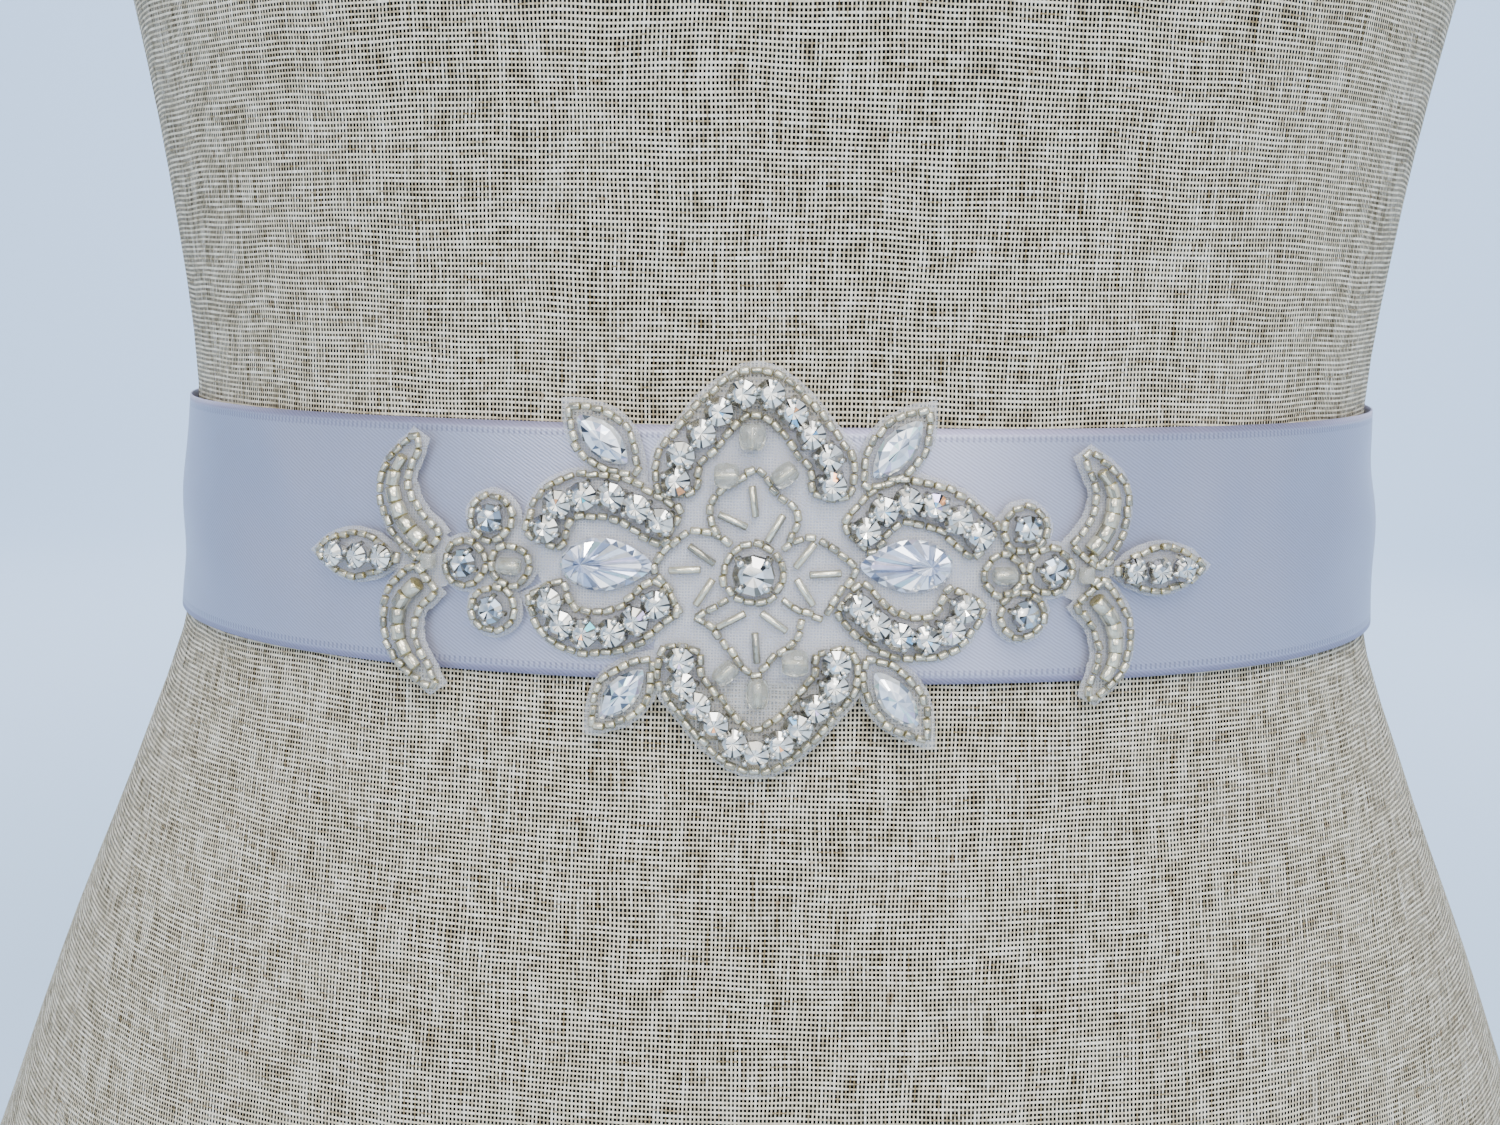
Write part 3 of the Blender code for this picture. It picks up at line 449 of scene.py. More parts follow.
def make_ribbon_band():
    half_length = BAND_HALF + KNOT_ENTRY
    bm = bmesh.new()
    bmesh.ops.create_grid(bm, x_segments=RIBBON_COLUMNS, y_segments=RIBBON_ROWS, size=1)
    bmesh.ops.scale(bm, vec=(half_length, RIBBON_WIDTH / 2, 1), verts=bm.verts)
    cloth_map(bm)
    for v in bm.verts:
        to_knot = BAND_HALF - abs(v.co.x)
        pull = 1 - smooth_step(to_knot / GATHER_LENGTH)
        row = (v.co.y / RIBBON_WIDTH + 0.5) * GATHER_ROWS
        ridge = GATHER_RIDGE * (0.5 - 0.5 * math.cos(math.pi * row)) * pull
        ridge *= smooth_step(to_knot / GATHER_RIDGE_START)
        v.co.z = RIBBON_FACE + ridge + lift_by(RIBBON_CREASES, v.co.x, v.co.y)
        v.co.y *= 1 + (2 * GATHERED_HALF / RIBBON_WIDTH - 1) * pull
    wrap(bm.verts)
    bmesh.ops.recalc_face_normals(bm, faces=bm.faces[:])
    return bm


TWILL_TURN = math.radians(33)
TWILL_SPACING = 0.46 * MM
TICK_SPACING = 0.85 * MM


def make_satin():
    """Silver-grey polyester satin, woven: smooth floats along the ribbon give a soft band of
    light, with faint slanting twill lines and a dull ticked edge."""
    half_width = RIBBON_WIDTH / 2
    cloth = Finish("polyester_satin")
    uv = cloth.add("UVMap", uv_map="cloth")
    along, across, _ = cloth.parts(uv)
    off_middle = cloth.math("ABSOLUTE", across)
    uneven = cloth.noise(uv, 900.0, 2.0)
    twill = cloth.parts(cloth.add("Mapping", {"Vector": uv, "Rotation": (0, 0, TWILL_TURN)}))[1]
    twill = cloth.math("MULTIPLY", twill, math.tau / TWILL_SPACING)
    twill = cloth.math("SINE", cloth.math("ADD", twill, cloth.math("MULTIPLY", uneven, 4.0)))
    lines = cloth.math("MULTIPLY", twill, uneven)

    tick = cloth.math("FRACT", cloth.math("MULTIPLY", along, 1 / TICK_SPACING))
    tick = cloth.math("LESS_THAN", tick, 0.42)
    tick_row = cloth.math("COMPARE", off_middle, half_width - 1.55 * MM, 0.45 * MM)
    tick = cloth.math("MULTIPLY", cloth.math("MULTIPLY", tick, tick_row), 0.5)
    edge = cloth.spread(off_middle, half_width - 1.15 * MM, half_width - 0.75 * MM, 0.0, 0.7)
    colour = cloth.blend(cloth.noise(uv, 38.0, 2.0), "#A9A8B8", "#B4B3C2")
    colour = cloth.blend(tick, cloth.blend(edge, colour, "#958CA4"), "#716B82")
    relief = cloth.math("SUBTRACT", lines, tick)
    return cloth.done({
        "Base Color": cloth.scaled(colour, cloth.spread(lines, -0.5, 0.5, 0.84, 1.12)),
        "Roughness": cloth.spread(edge, 0.0, 1.0, 0.41, 0.62),
        "Normal": cloth.add("Bump", {"Height": relief, "Strength": 0.30, "Distance": 0.05 * MM}),
        "Tangent": cloth.add("Tangent", direction_type="UV_MAP", uv_map="cloth"),
        "Anisotropic": 0.4,
        "Anisotropic Rotation": 0.25,
        "Specular IOR Level": 0.75,
        "Metallic": 0.75,
    })


def add_thickness(piece, thickness):
    """A wall behind the modelled face."""
    wall = piece.modifiers.new("thickness", "SOLIDIFY")
    wall.thickness = thickness
    wall.offset = -1
    wall.use_even_offset = False


satin = make_satin()
ribbon_band = add_piece("ribbon_band", make_ribbon_band(), [satin], ["sash_band"])
add_thickness(ribbon_band, RIBBON_THICKNESS)


# Knot. The ribbon's own end goes once round the crossing at the centre back and is drawn tight,
# so it lies in slanting folds.

KNOT_SIDES = 80
KNOT_COLUMNS = 48
KNOT_PLEAT = 1.0 * MM
KNOT_PLEAT_SPACING = 7.5 * MM
KNOT_PLEAT_LEAN = 0.38
FORM_CLEARANCE = 0.5 * MM

KnotSection = namedtuple("KnotSection", "across half_height depth")
KNOT_SECTIONS = [
    KnotSection(0.0, 12.6 * MM, 12.4 * MM),
    KnotSection(3.0, 12.9 * MM, 12.6 * MM),
    KnotSection(6.0, 13.0 * MM, 11.9 * MM),
    KnotSection(9.0, 12.4 * MM, 10.4 * MM),
    KnotSection(12.0, 10.8 * MM, 7.6 * MM),
    KnotSection(15.0, 8.8 * MM, 4.2 * MM),
]


def knot_sizes(x):
    """Half height and depth of the knot at a place across it."""
    places = [s.across * MM for s in KNOT_SECTIONS]
    return [
        smooth_value(abs(x), places, [s.half_height for s in KNOT_SECTIONS]),
        smooth_value(abs(x), places, [s.depth for s in KNOT_SECTIONS]),
    ]


def make_knot():
    base = waist_point(math.pi, 0, FORM_CLEARANCE).y
    bm = bmesh.new()
    uv = bm.loops.layers.uv.new("cloth")
    loops, cloth = [], {}
    for x in np.linspace(-KNOT_HALF, KNOT_HALF, KNOT_COLUMNS + 1):
        half_height, depth = knot_sizes(x)
        fade = 1 - (abs(x) / KNOT_HALF) ** 2
        verts = []
        for k in range(KNOT_SIDES):
            a = 2 * math.pi * k / KNOT_SIDES
            z = half_height * math.cos(a)
            out = max(math.sin(a), 0.0)
            across = x + KNOT_PLEAT_LEAN * z + 0.08 * z * math.sin(x / (5 * MM))
            crest = 0.5 + 0.5 * math.cos(2 * math.pi * across / KNOT_PLEAT_SPACING)
            pleat = KNOT_PLEAT * (0.8 - 1.4 * (1 - crest) ** 3) * math.sqrt(out) * fade
            y = base + depth * (0.5 + 0.5 * math.sin(a)) + pleat
            verts.append(bm.verts.new((x, y, RIBBON_HEIGHT + z)))
            cloth[verts[-1]] = (a / math.tau * 70 * MM, x / KNOT_HALF * 14 * MM)
        loops.append([bm.edges.new((p, q)) for p, q in zip(verts, verts[1:] + verts[:1])])
    for left, right in zip(loops, loops[1:]):
        bmesh.ops.bridge_loops(bm, edges=left + right)
    for face in bm.faces:
        spots = [cloth[loop.vert] for loop in face.loops]
        furthest = max(s[0] for s in spots)
        for loop, (round_it, across) in zip(face.loops, spots):
            closing = furthest > 60 * MM and round_it == 0
            loop[uv].uv = (70 * MM if closing else round_it, across)
    bmesh.ops.recalc_face_normals(bm, faces=bm.faces[:])
    return bm


ribbon_knot = add_piece("ribbon_knot", make_knot(), [satin], ["sash_knot"], crease_angle=75)
add_thickness(ribbon_knot, RIBBON_THICKNESS)


# Tails. The two ends of the ribbon fall from the knot, spread to full width in long flutes and
# are cut on the slant.

TAIL_LENGTH = 0.195
TAIL_LEAN = math.radians(12)
TAIL_TOP_OFFSET = 7.2 * MM
TAIL_TOP_HALF = 5.6 * MM
TAIL_SPREAD_LENGTH = 84 * MM
TAIL_CUT_SLOPE = 0.55
TAIL_CLEARANCE = 1.2 * MM
TAIL_TOP_CLEARANCE = 5.0 * MM
TAIL_SETTLE = 16 * MM
TAIL_RIDGE = 1.3 * MM
TAIL_FLUTE = 2.4 * MM
TAIL_FLUTE_ACROSS = 1.2
TAIL_FLUTE_START = -0.5
TAIL_FLUTE_DRIFT = 0.6
TAIL_DROP_SHARE = 0.97
TAIL_EDGE_SHARE = 0.95
TAIL_FACE = 0.9 * MM
TAIL_COLUMNS = 26
TAIL_ROWS = 110
TAIL_TUCK = 3 * MM
HIP_HEIGHT = 0.070


def form_back(x, height):
    """How far back the form's skin lies at a place, held out below the fullest hip."""
    half_width, _, back = form_sizes(max(height, HIP_HEIGHT))
    share = min(abs(x) / half_width, TAIL_EDGE_SHARE)
    return back * (1 - share ** FORM_SECTION_POWER) ** (1 / FORM_SECTION_POWER)


def tail_point(side, across, down, out):
    """A point of a tail, from its place across (-1 to 1) and down (0 to 1)."""
    spread = smooth_step(down * TAIL_LENGTH / TAIL_SPREAD_LENGTH)
    half = TAIL_TOP_HALF + (RIBBON_WIDTH / 2 - TAIL_TOP_HALF) * spread
    length = down * (TAIL_LENGTH + TAIL_CUT_SLOPE * across * RIBBON_WIDTH / 2)
    top_x = TAIL_TOP_OFFSET + across * TAIL_TOP_HALF
    top_z = RIBBON_HEIGHT - knot_sizes(top_x)[0] + TAIL_TUCK * (1 - smooth_step(6 * down))
    x = TAIL_TOP_OFFSET + across * half + length * math.sin(TAIL_LEAN)
    z = top_z - length * math.cos(TAIL_LEAN) * TAIL_DROP_SHARE
    settle = math.exp(-length / TAIL_SETTLE)
    row = (across + 1) * 3
    ridge = TAIL_RIDGE * (0.5 - 0.5 * math.cos(math.pi * row)) * (1 - spread)
    phase = across * TAIL_FLUTE_ACROSS + TAIL_FLUTE_START + TAIL_FLUTE_DRIFT * down
    flute = TAIL_FLUTE * spread * (0.5 + 0.5 * math.cos(math.pi * phase))
    clear = TAIL_CLEARANCE + (TAIL_TOP_CLEARANCE - TAIL_CLEARANCE) * settle + ridge + flute
    return Vector((side * x, form_back(x, z) + clear + out, z))


def make_tail(side):
    bm = bmesh.new()
    bmesh.ops.create_grid(bm, x_segments=TAIL_COLUMNS, y_segments=TAIL_ROWS, size=1)
    uv = bm.loops.layers.uv.new("cloth")
    for face in bm.faces:
        for loop in face.loops:
            down = (1 - loop.vert.co.y) / 2
            loop[uv].uv = (down * TAIL_LENGTH, loop.vert.co.x * RIBBON_WIDTH / 2)
    for v in bm.verts:
        v.co = tail_point(side, v.co.x, (1 - v.co.y) / 2, TAIL_FACE)
    bmesh.ops.recalc_face_normals(bm, faces=bm.faces[:])
    if bm.faces[:][0].normal.y < 0:
        bmesh.ops.reverse_faces(bm, faces=bm.faces[:])
    return bm


for side, where in ((-1, "left"), (1, "right")):
    tail = add_piece("ribbon_tail_" + where, make_tail(side), [satin],
                     ["sash_tail_" + where])
    add_thickness(tail, RIBBON_THICKNESS)


# Seed beads. Short cut tubes of silver-lined glass, 1.7 by 1.15 mm, are strung in rows and
# couched down on the net round every motif. Everything flat is in millimetres from the middle
# of the centre stone, until it is laid on the ribbon.

APPLIQUE_ALONG = -1.3
APPLIQUE_UP = -2.4
SEED_LENGTH = 1.66
SEED_RADIUS = 0.59
SEED_PITCH = 1.74
SEED_SIDES = 8
SEED_HEIGHT = 3.5
SEED_SKEW = 9
ROW_WANDER = 0.13
ROW_WANDER_LENGTH = 8.0

draw = random.Random(38)


def curve_through(points, count, closed=False):
    """A smooth curve through a few points, as count points evenly spaced along it."""
    points = np.array(points, float)
    if closed:
        points = np.vstack([points[-2:], points, points[:2]])
    knots = np.r_[0, np.cumsum(np.linalg.norm(np.diff(points, axis=0), axis=1))]
    ends = (knots[2], knots[-2]) if closed else (knots[0], knots[-1])
    fine_at = np.linspace(*ends, 240)
    fine = np.array([[smooth_value(s, knots, points[:, k]) for k in (0, 1)] for s in fine_at])
    return evenly(fine, count)


def evenly(line, count, end_room=0.0):
    """Even places along a line, kept away from its ends."""
    line = np.array(line, float)
    lengths = np.r_[0, np.cumsum(np.linalg.norm(np.diff(line, axis=0), axis=1))]
    at = np.linspace(end_room, lengths[-1] - end_room, count)
    return np.stack([np.interp(at, lengths, line[:, 0]), np.interp(at, lengths, line[:, 1])], 1)


def line_directions(line):
    along = np.gradient(line, axis=0)
    return along / np.linalg.norm(along, axis=1)[:, None]


def strip_outline(line, half_widths, end_extra=0.0):
    """The outline of a strip that follows a line, with a half width at each of its points."""
    line = line.copy()
    along = line_directions(line)
    normals = np.stack([-along[:, 1], along[:, 0]], 1)
    line[0] -= along[0] * end_extra
    line[-1] += along[-1] * end_extra
    half_widths = np.broadcast_to(half_widths, len(line))[:, None]
    return np.vstack([line + normals * half_widths, (line - normals * half_widths)[::-1]])


def turned(points, along, up, turn=0.0):
    """Points turned by an angle in degrees, then moved to their place."""
    c, s = math.cos(math.radians(turn)), math.sin(math.radians(turn))
    return np.array([(along + x * c - y * s, up + x * s + y * c) for x, y in points])


def round_outline(radius, sides, stretch=1.0):
    turns = [2 * math.pi * (k + 0.5) / sides for k in range(sides)]
    return [(radius * stretch * math.cos(a), radius * math.sin(a)) for a in turns]


def leaf_outline(length, width, steps=14):
    """A leaf pointed at both ends, made of two arcs."""
    half, rise = length / 2, width / 2
    xs = [half * math.cos(math.pi * k / steps) for k in range(2 * steps)]
    sides = [1 if k <= steps else -1 for k in range(2 * steps)]
    return [(x, side * rise * (1 - (x / half) ** 2)) for x, side in zip(xs, sides)]


def drop_outline(length, width, steps=28):
    """A teardrop with its point towards +X."""
    outline = []
    for k in range(steps):
        a = 2 * math.pi * k / steps
        taper = 1 - 0.22 * math.cos(a) - 0.22 * math.cos(a) ** 2
        outline.append((length / 2 * math.cos(a), width / 2 * math.sin(a) * taper * 1.04))
    return outline


def softened(outline, rounds):
    """A closed outline with its corners worn round."""
    points = evenly(np.vstack([outline, outline[:1]]), 121)[:-1]
    for _ in range(rounds):
        points = (np.roll(points, 1, 0) + 2 * points + np.roll(points, -1, 0)) / 4
    return points


def new_beadwork():
    """An empty mesh that holds a colour for each face's corners, with the beads' and stones' painted glints and
    reflections.
    """
    bm = bmesh.new()
    bm.loops.layers.float_color.new("tint_and_painted_glint")
    return bm


def stamp(bm, template, x, y, height, turn=0.0, roll=0.0, tilt=0.0, scale=(1, 1, 1), tint_and_painted_glint=None):
    """Adds a copy of a template, turned in degrees, with a colour of its own on each face, painted glints and
    reflections included.
    """
    vert_count, face_count = len(bm.verts), len(bm.faces)
    bm.from_mesh(template)
    bm.verts.ensure_lookup_table()
    bm.faces.ensure_lookup_table()
    place = (
        Matrix.Translation((x, y, height))
        @ Matrix.Rotation(math.radians(turn), 4, "Z")
        @ Matrix.Rotation(math.radians(tilt), 4, "Y")
        @ Matrix.Rotation(math.radians(roll), 4, "X")
        @ Matrix.Diagonal((*scale, 1))
    )
    bmesh.ops.transform(bm, matrix=place, verts=bm.verts[vert_count:])
    layer = bm.loops.layers.float_color["tint_and_painted_glint"]
    for face in bm.faces[face_count:]:
        colour = tint_and_painted_glint(face) if tint_and_painted_glint else (1, 1, 1, 1)
        for loop in face.loops:
            loop[layer] = colour


def bead_template(radius, length, sides, bevel, material=0):
    """A short tube that lies along X, with rounded ends."""
    bm = bmesh.new()
    bmesh.ops.create_cone(bm, cap_ends=True, segments=sides, radius1=radius, radius2=radius, depth=length)
    rims = [e for e in bm.edges if abs(e.verts[0].co.z - e.verts[1].co.z) < 1e-6]
    bmesh.ops.bevel(bm, geom=rims, offset=bevel, affect="EDGES", segments=1, profile=0.5, material=-1)
    bmesh.ops.rotate(bm, matrix=Matrix.Rotation(math.pi / 2, 3, "Y"), verts=bm.verts)
    for face in bm.faces:
        face.material_index = material
        face.smooth = len(face.verts) == 4
    mesh = bpy.data.meshes.new("bead")
    bm.to_mesh(mesh)
    bm.free()
    return mesh


SEED_BEAD = bead_template(SEED_RADIUS, SEED_LENGTH, SEED_SIDES, 0.16)
SEED_END_TINT = linear("#B9AF88")
LINING_SIDES = 4
# Brightnesses for the sides of the lining: painted glints and painted dark reflections.
LINING_PAINTED_GLINTS = (1.0, 0.95, 0.85, 0.60, 0.42)


def is_sliver(face):
    """Whether a face is a narrow one between wider ones, such as a bevel."""
    beside = [f for e in face.edges for f in e.link_faces if f is not face]
    beside = [f for f in beside if len(f.verts) == len(face.verts)] or [face]
    return face.calc_area() < 0.6 * max(f.calc_area() for f in beside)


def bead_colour_and_painted_glint():
    """Colours for one bead. The sides of its square silver lining are painted brighter and darker by
    turns, as painted glints and dark reflections, and its cut ends are champagne."""
    light = draw.uniform(0.82, 1.0)
    warm = draw.uniform(0.01, 0.07)
    silver = (1, 1 - warm * 0.6, 1 - warm * 1.8)
    # Painted reflections: each side of the lining gets one of these brightnesses.
    sides = cycle([light * draw.choice(LINING_PAINTED_GLINTS) for _ in range(LINING_SIDES)])

    def tint_and_painted_glint(face):
        if len(face.verts) > 4 or is_sliver(face):
            return SEED_END_TINT
        shade = next(sides)
        return [shade * channel for channel in silver] + [1]
    return tint_and_painted_glint


def string_beads(bm, line, closed=False, height=SEED_HEIGHT, pitch=SEED_PITCH):
    """Beads one behind another along a line, each a little out of true, as the couching thread
    lets the row wander."""
    line = np.array(line, float)
    if closed:
        line = np.vstack([line, line[:1]])
    length = np.linalg.norm(np.diff(line, axis=0), axis=1).sum()
    count = max(2, round(length / pitch))
    spots = evenly(line, 2 * count + 1)
    phase = draw.uniform(0, math.tau)
    for k in range(count):
        x, y = spots[2 * k + 1]
        dx, dy = (spots[2 * k + 2] - spots[2 * k]) / np.linalg.norm(spots[2 * k + 2] - spots[2 * k])
        at = phase + k * pitch / ROW_WANDER_LENGTH * math.tau
        off = ROW_WANDER * (math.sin(at) + 0.6 * math.sin(2.7 * at)) * (1 if 0 < k < count - 1 else 0)
        slide = draw.uniform(-0.09, 0.09)
        stamp(
            bm, SEED_BEAD, x - dy * off + dx * slide, y + dx * off + dy * slide,
            height + draw.uniform(-0.12, 0.15),
            turn=math.degrees(math.atan2(dy, dx)) + draw.uniform(-SEED_SKEW, SEED_SKEW),
            roll=draw.uniform(0, 45), tilt=draw.uniform(-6, 6),
            scale=(draw.uniform(0.86, 1.06),) + (draw.uniform(0.88, 1.08),) * 2,
            tint_and_painted_glint=bead_colour_and_painted_glint(),
        )


def lay_on_ribbon(bm):
    """From millimetres round the centre stone to the place on the ribbon, in metres."""
    for v in bm.verts:
        v.co.x = (v.co.x + APPLIQUE_ALONG) * MM
        v.co.y = (v.co.y + APPLIQUE_UP) * MM
        v.co.z *= MM
    wrap(bm.verts)


def make_seed_glass():
    """Silver-lined soda glass, cut tube: silvery champagne, mirror-bright where the lining faces the
    eye and clearer at its sides, where the cloth shows through."""
    glass = Finish("silver_lined_glass")
    facing = glass.add("LayerWeight", {"Blend": 0.5}, "Facing")
    outer = glass.spread(facing, 0.05, 0.30)
    spot = glass.add("TexCoord", output="Object")
    # The per-face colour holds the painted glints of the lining's sides and the champagne of the cut ends.
    tint_and_painted_glint = glass.add("Attribute", output="Color", attribute_name="tint_and_painted_glint")
    colour = glass.blend(1.0, "#F6EFD6", tint_and_painted_glint, blend_type="MULTIPLY")
    return glass.done({
        "Base Color": glass.scaled(colour, glass.noise(spot, 1500.0, 2.0, 0.35, 0.65, 0.78, 1.0)),
        "Metallic": glass.spread(outer, 0.0, 1.0, 0.75, 0.0),
        "Transmission Weight": glass.spread(outer, 0.0, 1.0, 0.0, 0.55),
        "Roughness": 0.16,
        "IOR": 1.5,
        "Coat Weight": 0.6,
        "Coat Roughness": 0.04,
    })


seed_glass = make_seed_glass()


# Claw-set stones. Each is a small round foil-backed crystal, cut with a star of facets, held in a
# silver-plated cup by four claws that are pressed over its edge. Each facet's colour is a painted
# reflection: most are bright, and the slivers between them dark.

STONE_RADIUS = 2.22
STONE_BASE = 2.95
STONE_RISE = 2.75
# Painted reflections of a clear foiled crystal, with weights: mostly bright, a few dark, a few painted coloured
# sparks.
FACET_PAINTED_REFLECTIONS = [
    ("#FFFAEC", 62), ("#F3EEE0", 20), ("#D2CDC0", 7), ("#8E8A80", 3), ("#8FCBF2", 2), ("#F6A868", 1),
    ("#66DCE6", 1), ("#C9B8E6", 1),
]
# Painted shade for the narrow slivers between the facets.
GAP_PAINTED_SHADE = [("#4B473E", 5), ("#7B776C", 4), ("#2A2620", 4), ("#B9B6AC", 2)]


def facet_colour_and_painted_reflection(colours_and_reflections, gap_colours_and_shade=GAP_PAINTED_SHADE):
    """Draws a colour for each stone facet from weighted lists of painted reflections, some tinted with the
    stone's own colour: wide facets are mostly painted bright, and the slivers between them painted dark.
    """
    def tint_and_painted_glint(face):
        if face.material_index != 1:
            return (1, 1, 1, 1)
        choices = gap_colours_and_shade if is_sliver(face) else colours_and_reflections
        return linear(draw.choices([c for c, _ in choices], [w for _, w in choices])[0])
    return tint_and_painted_glint


def claw_stone_template(petals, claws, table=0.42, depth=0.24):
    """A stone of radius 1 that stands on Z = 0 and is 1 high, in its cup with its claws. Its crown
    is a star of wide facets with slivers between them."""
    bm = bmesh.new()
    sides = 2 * petals
    bmesh.ops.create_cone(bm, cap_ends=True, segments=sides, radius1=0.95, radius2=table, depth=depth)
    bmesh.ops.translate(bm, verts=bm.verts, vec=(0, 0, 0.96 - depth / 2))
    for high in (False, True):
        ring = [v for v in bm.verts if (v.co.z > 0.96 - depth / 2) == high]
        ring.sort(key=lambda v: math.atan2(v.co.y, v.co.x))
        closer = math.radians(5.5)
        bmesh.ops.rotate(bm, matrix=Matrix.Rotation(closer, 3, "Z"), verts=ring[0::2])
        bmesh.ops.rotate(bm, matrix=Matrix.Rotation(-closer, 3, "Z"), verts=ring[1::2])
    table_face = [f for f in bm.faces if len(f.verts) > 4 and f.normal.z > 0.9]
    bmesh.ops.poke(bm, faces=table_face, offset=-0.07)
    for face in bm.faces:
        face.material_index = 1
        face.smooth = False
    stone_faces = len(bm.faces)
    bmesh.ops.create_cone(bm, cap_ends=False, segments=12, radius1=0.72, radius2=1.0, depth=0.60,
                          matrix=Matrix.Translation((0, 0, 0.30)))
    for k in range(claws):
        a = 2 * math.pi * (k + 0.5) / claws
        place = (
            Matrix.Rotation(a, 4, "Z") @ Matrix.Translation((0.92, 0, 0.68))
            @ Matrix.Rotation(math.radians(-22), 4, "Y") @ Matrix.Diagonal((1, 1.35, 1, 1))
        )
        bmesh.ops.create_cone(bm, cap_ends=True, segments=6, radius1=0.17, radius2=0.14, depth=0.66,
                              matrix=place)
    bm.faces.ensure_lookup_table()
    for face in bm.faces[stone_faces:]:
        face.material_index = 2
        face.smooth = True
    mesh = bpy.data.meshes.new("claw_stone")
    bm.to_mesh(mesh)
    bm.free()
    return mesh


CHAIN_STONE = claw_stone_template(8, 4)


def set_stones(bm, places, radius=STONE_RADIUS, template=CHAIN_STONE, colours_and_reflections=FACET_PAINTED_REFLECTIONS, rise=STONE_RISE,
               turn=None):
    for x, y in places:
        lean = draw.uniform(-5, 5)
        stamp(bm, template, x, y, STONE_BASE, turn=draw.uniform(0, 90) if turn is None else turn,
              roll=draw.uniform(-4, 4), tilt=lean, scale=(radius, radius, rise), tint_and_painted_glint=facet_colour_and_painted_reflection(colours_and_reflections))


def make_crystal():
    """Lead-free crystal over silver foil, ground and polished: each facet's colour is a painted
    reflection, so neighbours are painted bright and dark, with a few painted coloured sparks."""
    crystal = Finish("foiled_crystal")
    tint_and_painted_glint = crystal.add("Attribute", output="Color", attribute_name="tint_and_painted_glint")
    spot = crystal.add("TexCoord", output="Object")
    return crystal.done({
        "Base Color": crystal.scaled(tint_and_painted_glint, crystal.noise(spot, 900.0, 1.0, 0.3, 0.7, 0.85, 1.0)),
        "Metallic": 0.55,
        "Roughness": 0.08,
        "Coat Weight": 1.0,
        "Coat Roughness": 0.02,
    })


def make_silver_plate():
    """Silver-plated brass, pressed and tumbled: bright, with faint wear on the cups."""
    plate = Finish("silver_plated_brass")
    wear = plate.noise(plate.add("TexCoord", output="Object"), 700.0, 3.0)
    return plate.done({
        "Base Color": plate.blend(wear, "#C9C5BA", "#F0EEE8"),
        "Roughness": plate.spread(wear, 0.0, 1.0, 0.34, 0.16),
        "Metallic": 1.0,
    })


BEADWORK = [seed_glass, make_crystal(), make_silver_plate()]
net_outlines = []


# Arches and scrolls. Channels of claw-set stones between two rows of seed beads: an arch above
# and one below the centre, and four scrolls that close into an eye round each teardrop.

CHANNEL_HALF = 3.5
CHANNEL_ROW = 3.05
CHANNEL_END = -0.35
NET_MARGIN = 0.6
ARCH_END_ROOM = 2.2
SCROLL_END_ROOM = 2.3
ARCH_HALF_LINE = [(0.0, 26.6), (4.7, 23.9), (8.2, 19.8), (11.4, 15.6), (10.9, 10.8)]

Channel = namedtuple("Channel", "name line stones end_room")


def arch_line(side, shift_along, shift_up):
    whole = [(-x, y) for x, y in ARCH_HALF_LINE[:0:-1]] + ARCH_HALF_LINE
    return [(x + shift_along, side * (y + shift_up)) for x, y in whole]


CHANNELS = [
    Channel("arch_top", arch_line(1, -0.2, 0.3), 10, ARCH_END_ROOM),
    Channel("arch_bottom", arch_line(-1, 0.9, 0.1), 11, ARCH_END_ROOM),
    Channel("scroll_left_upper", [(-31.4, 3.6), (-28.6, 9.8), (-22.6, 11.0), (-11.6, 6.2)], 6, SCROLL_END_ROOM),
    Channel("scroll_left_lower", [(-30.8, -2.8), (-27.6, -8.6), (-20.6, -9.2), (-12.2, -3.2)], 6, SCROLL_END_ROOM),
    Channel("scroll_right_upper", [(34.0, 4.4), (27.4, 9.6), (20.2, 10.8), (14.6, 4.8)], 6, SCROLL_END_ROOM),
    Channel("scroll_right_lower", [(31.4, -2.8), (27.8, -8.4), (20.4, -8.8), (13.6, -3.0)], 6, SCROLL_END_ROOM),
]

for channel in CHANNELS:
    line = curve_through(channel.line, 41)
    bm = new_beadwork()
    string_beads(bm, softened(strip_outline(line, CHANNEL_ROW, CHANNEL_END), 4), closed=True)
    set_stones(bm, evenly(line, channel.stones, channel.end_room))
    lay_on_ribbon(bm)
    add_piece(channel.name + "_beadwork", bm, BEADWORK, [channel.name], smooth=False)
    net_outlines.append(strip_outline(line, CHANNEL_HALF + NET_MARGIN, NET_MARGIN))
    if channel.name.startswith("arch"):
        net_outlines.append(line)


# Centre. One larger stone in a square four-claw cup, in a ring of seed beads, with four petals of
# beads round it and silver-lined bugle beads that point at it.

CENTRE_RING = 4.35
CENTRE_STONE_RADIUS = 3.15
CENTRE_STONE_RISE = 3.15
# Painted reflections of the clear centre stone, with weights: whites, warm browns and a dark.
CENTRE_PAINTED_REFLECTIONS = [
    ("#FFFFFF", 34), ("#F0EAE0", 22), ("#C4B4A2", 10), ("#7E6756", 6), ("#3C3029", 4),
    ("#F3D9C0", 6), ("#E8E8E6", 18),
]
PETAL_ROWS = [
    [(-5.2, 5.4), (-6.6, 7.8), (-6.4, 10.2), (-3.3, 13.2), (0.2, 15.2), (2.4, 12.6), (6.2, 8.6), (5.0, 4.6)],
    [(9.4, 5.2), (12.0, 3.4), (14.8, 1.0), (12.6, -2.4), (10.6, -6.0)],
    [(-8.4, -6.7), (-5.8, -8.2), (-3.4, -11.2), (0.6, -15.0), (3.2, -12.4), (6.2, -9.8), (7.2, -6.6)],
    [(-10.4, -6.2), (-11.9, -3.4), (-14.3, 0.8), (-12.6, 3.6), (-9.6, 6.0)],
]
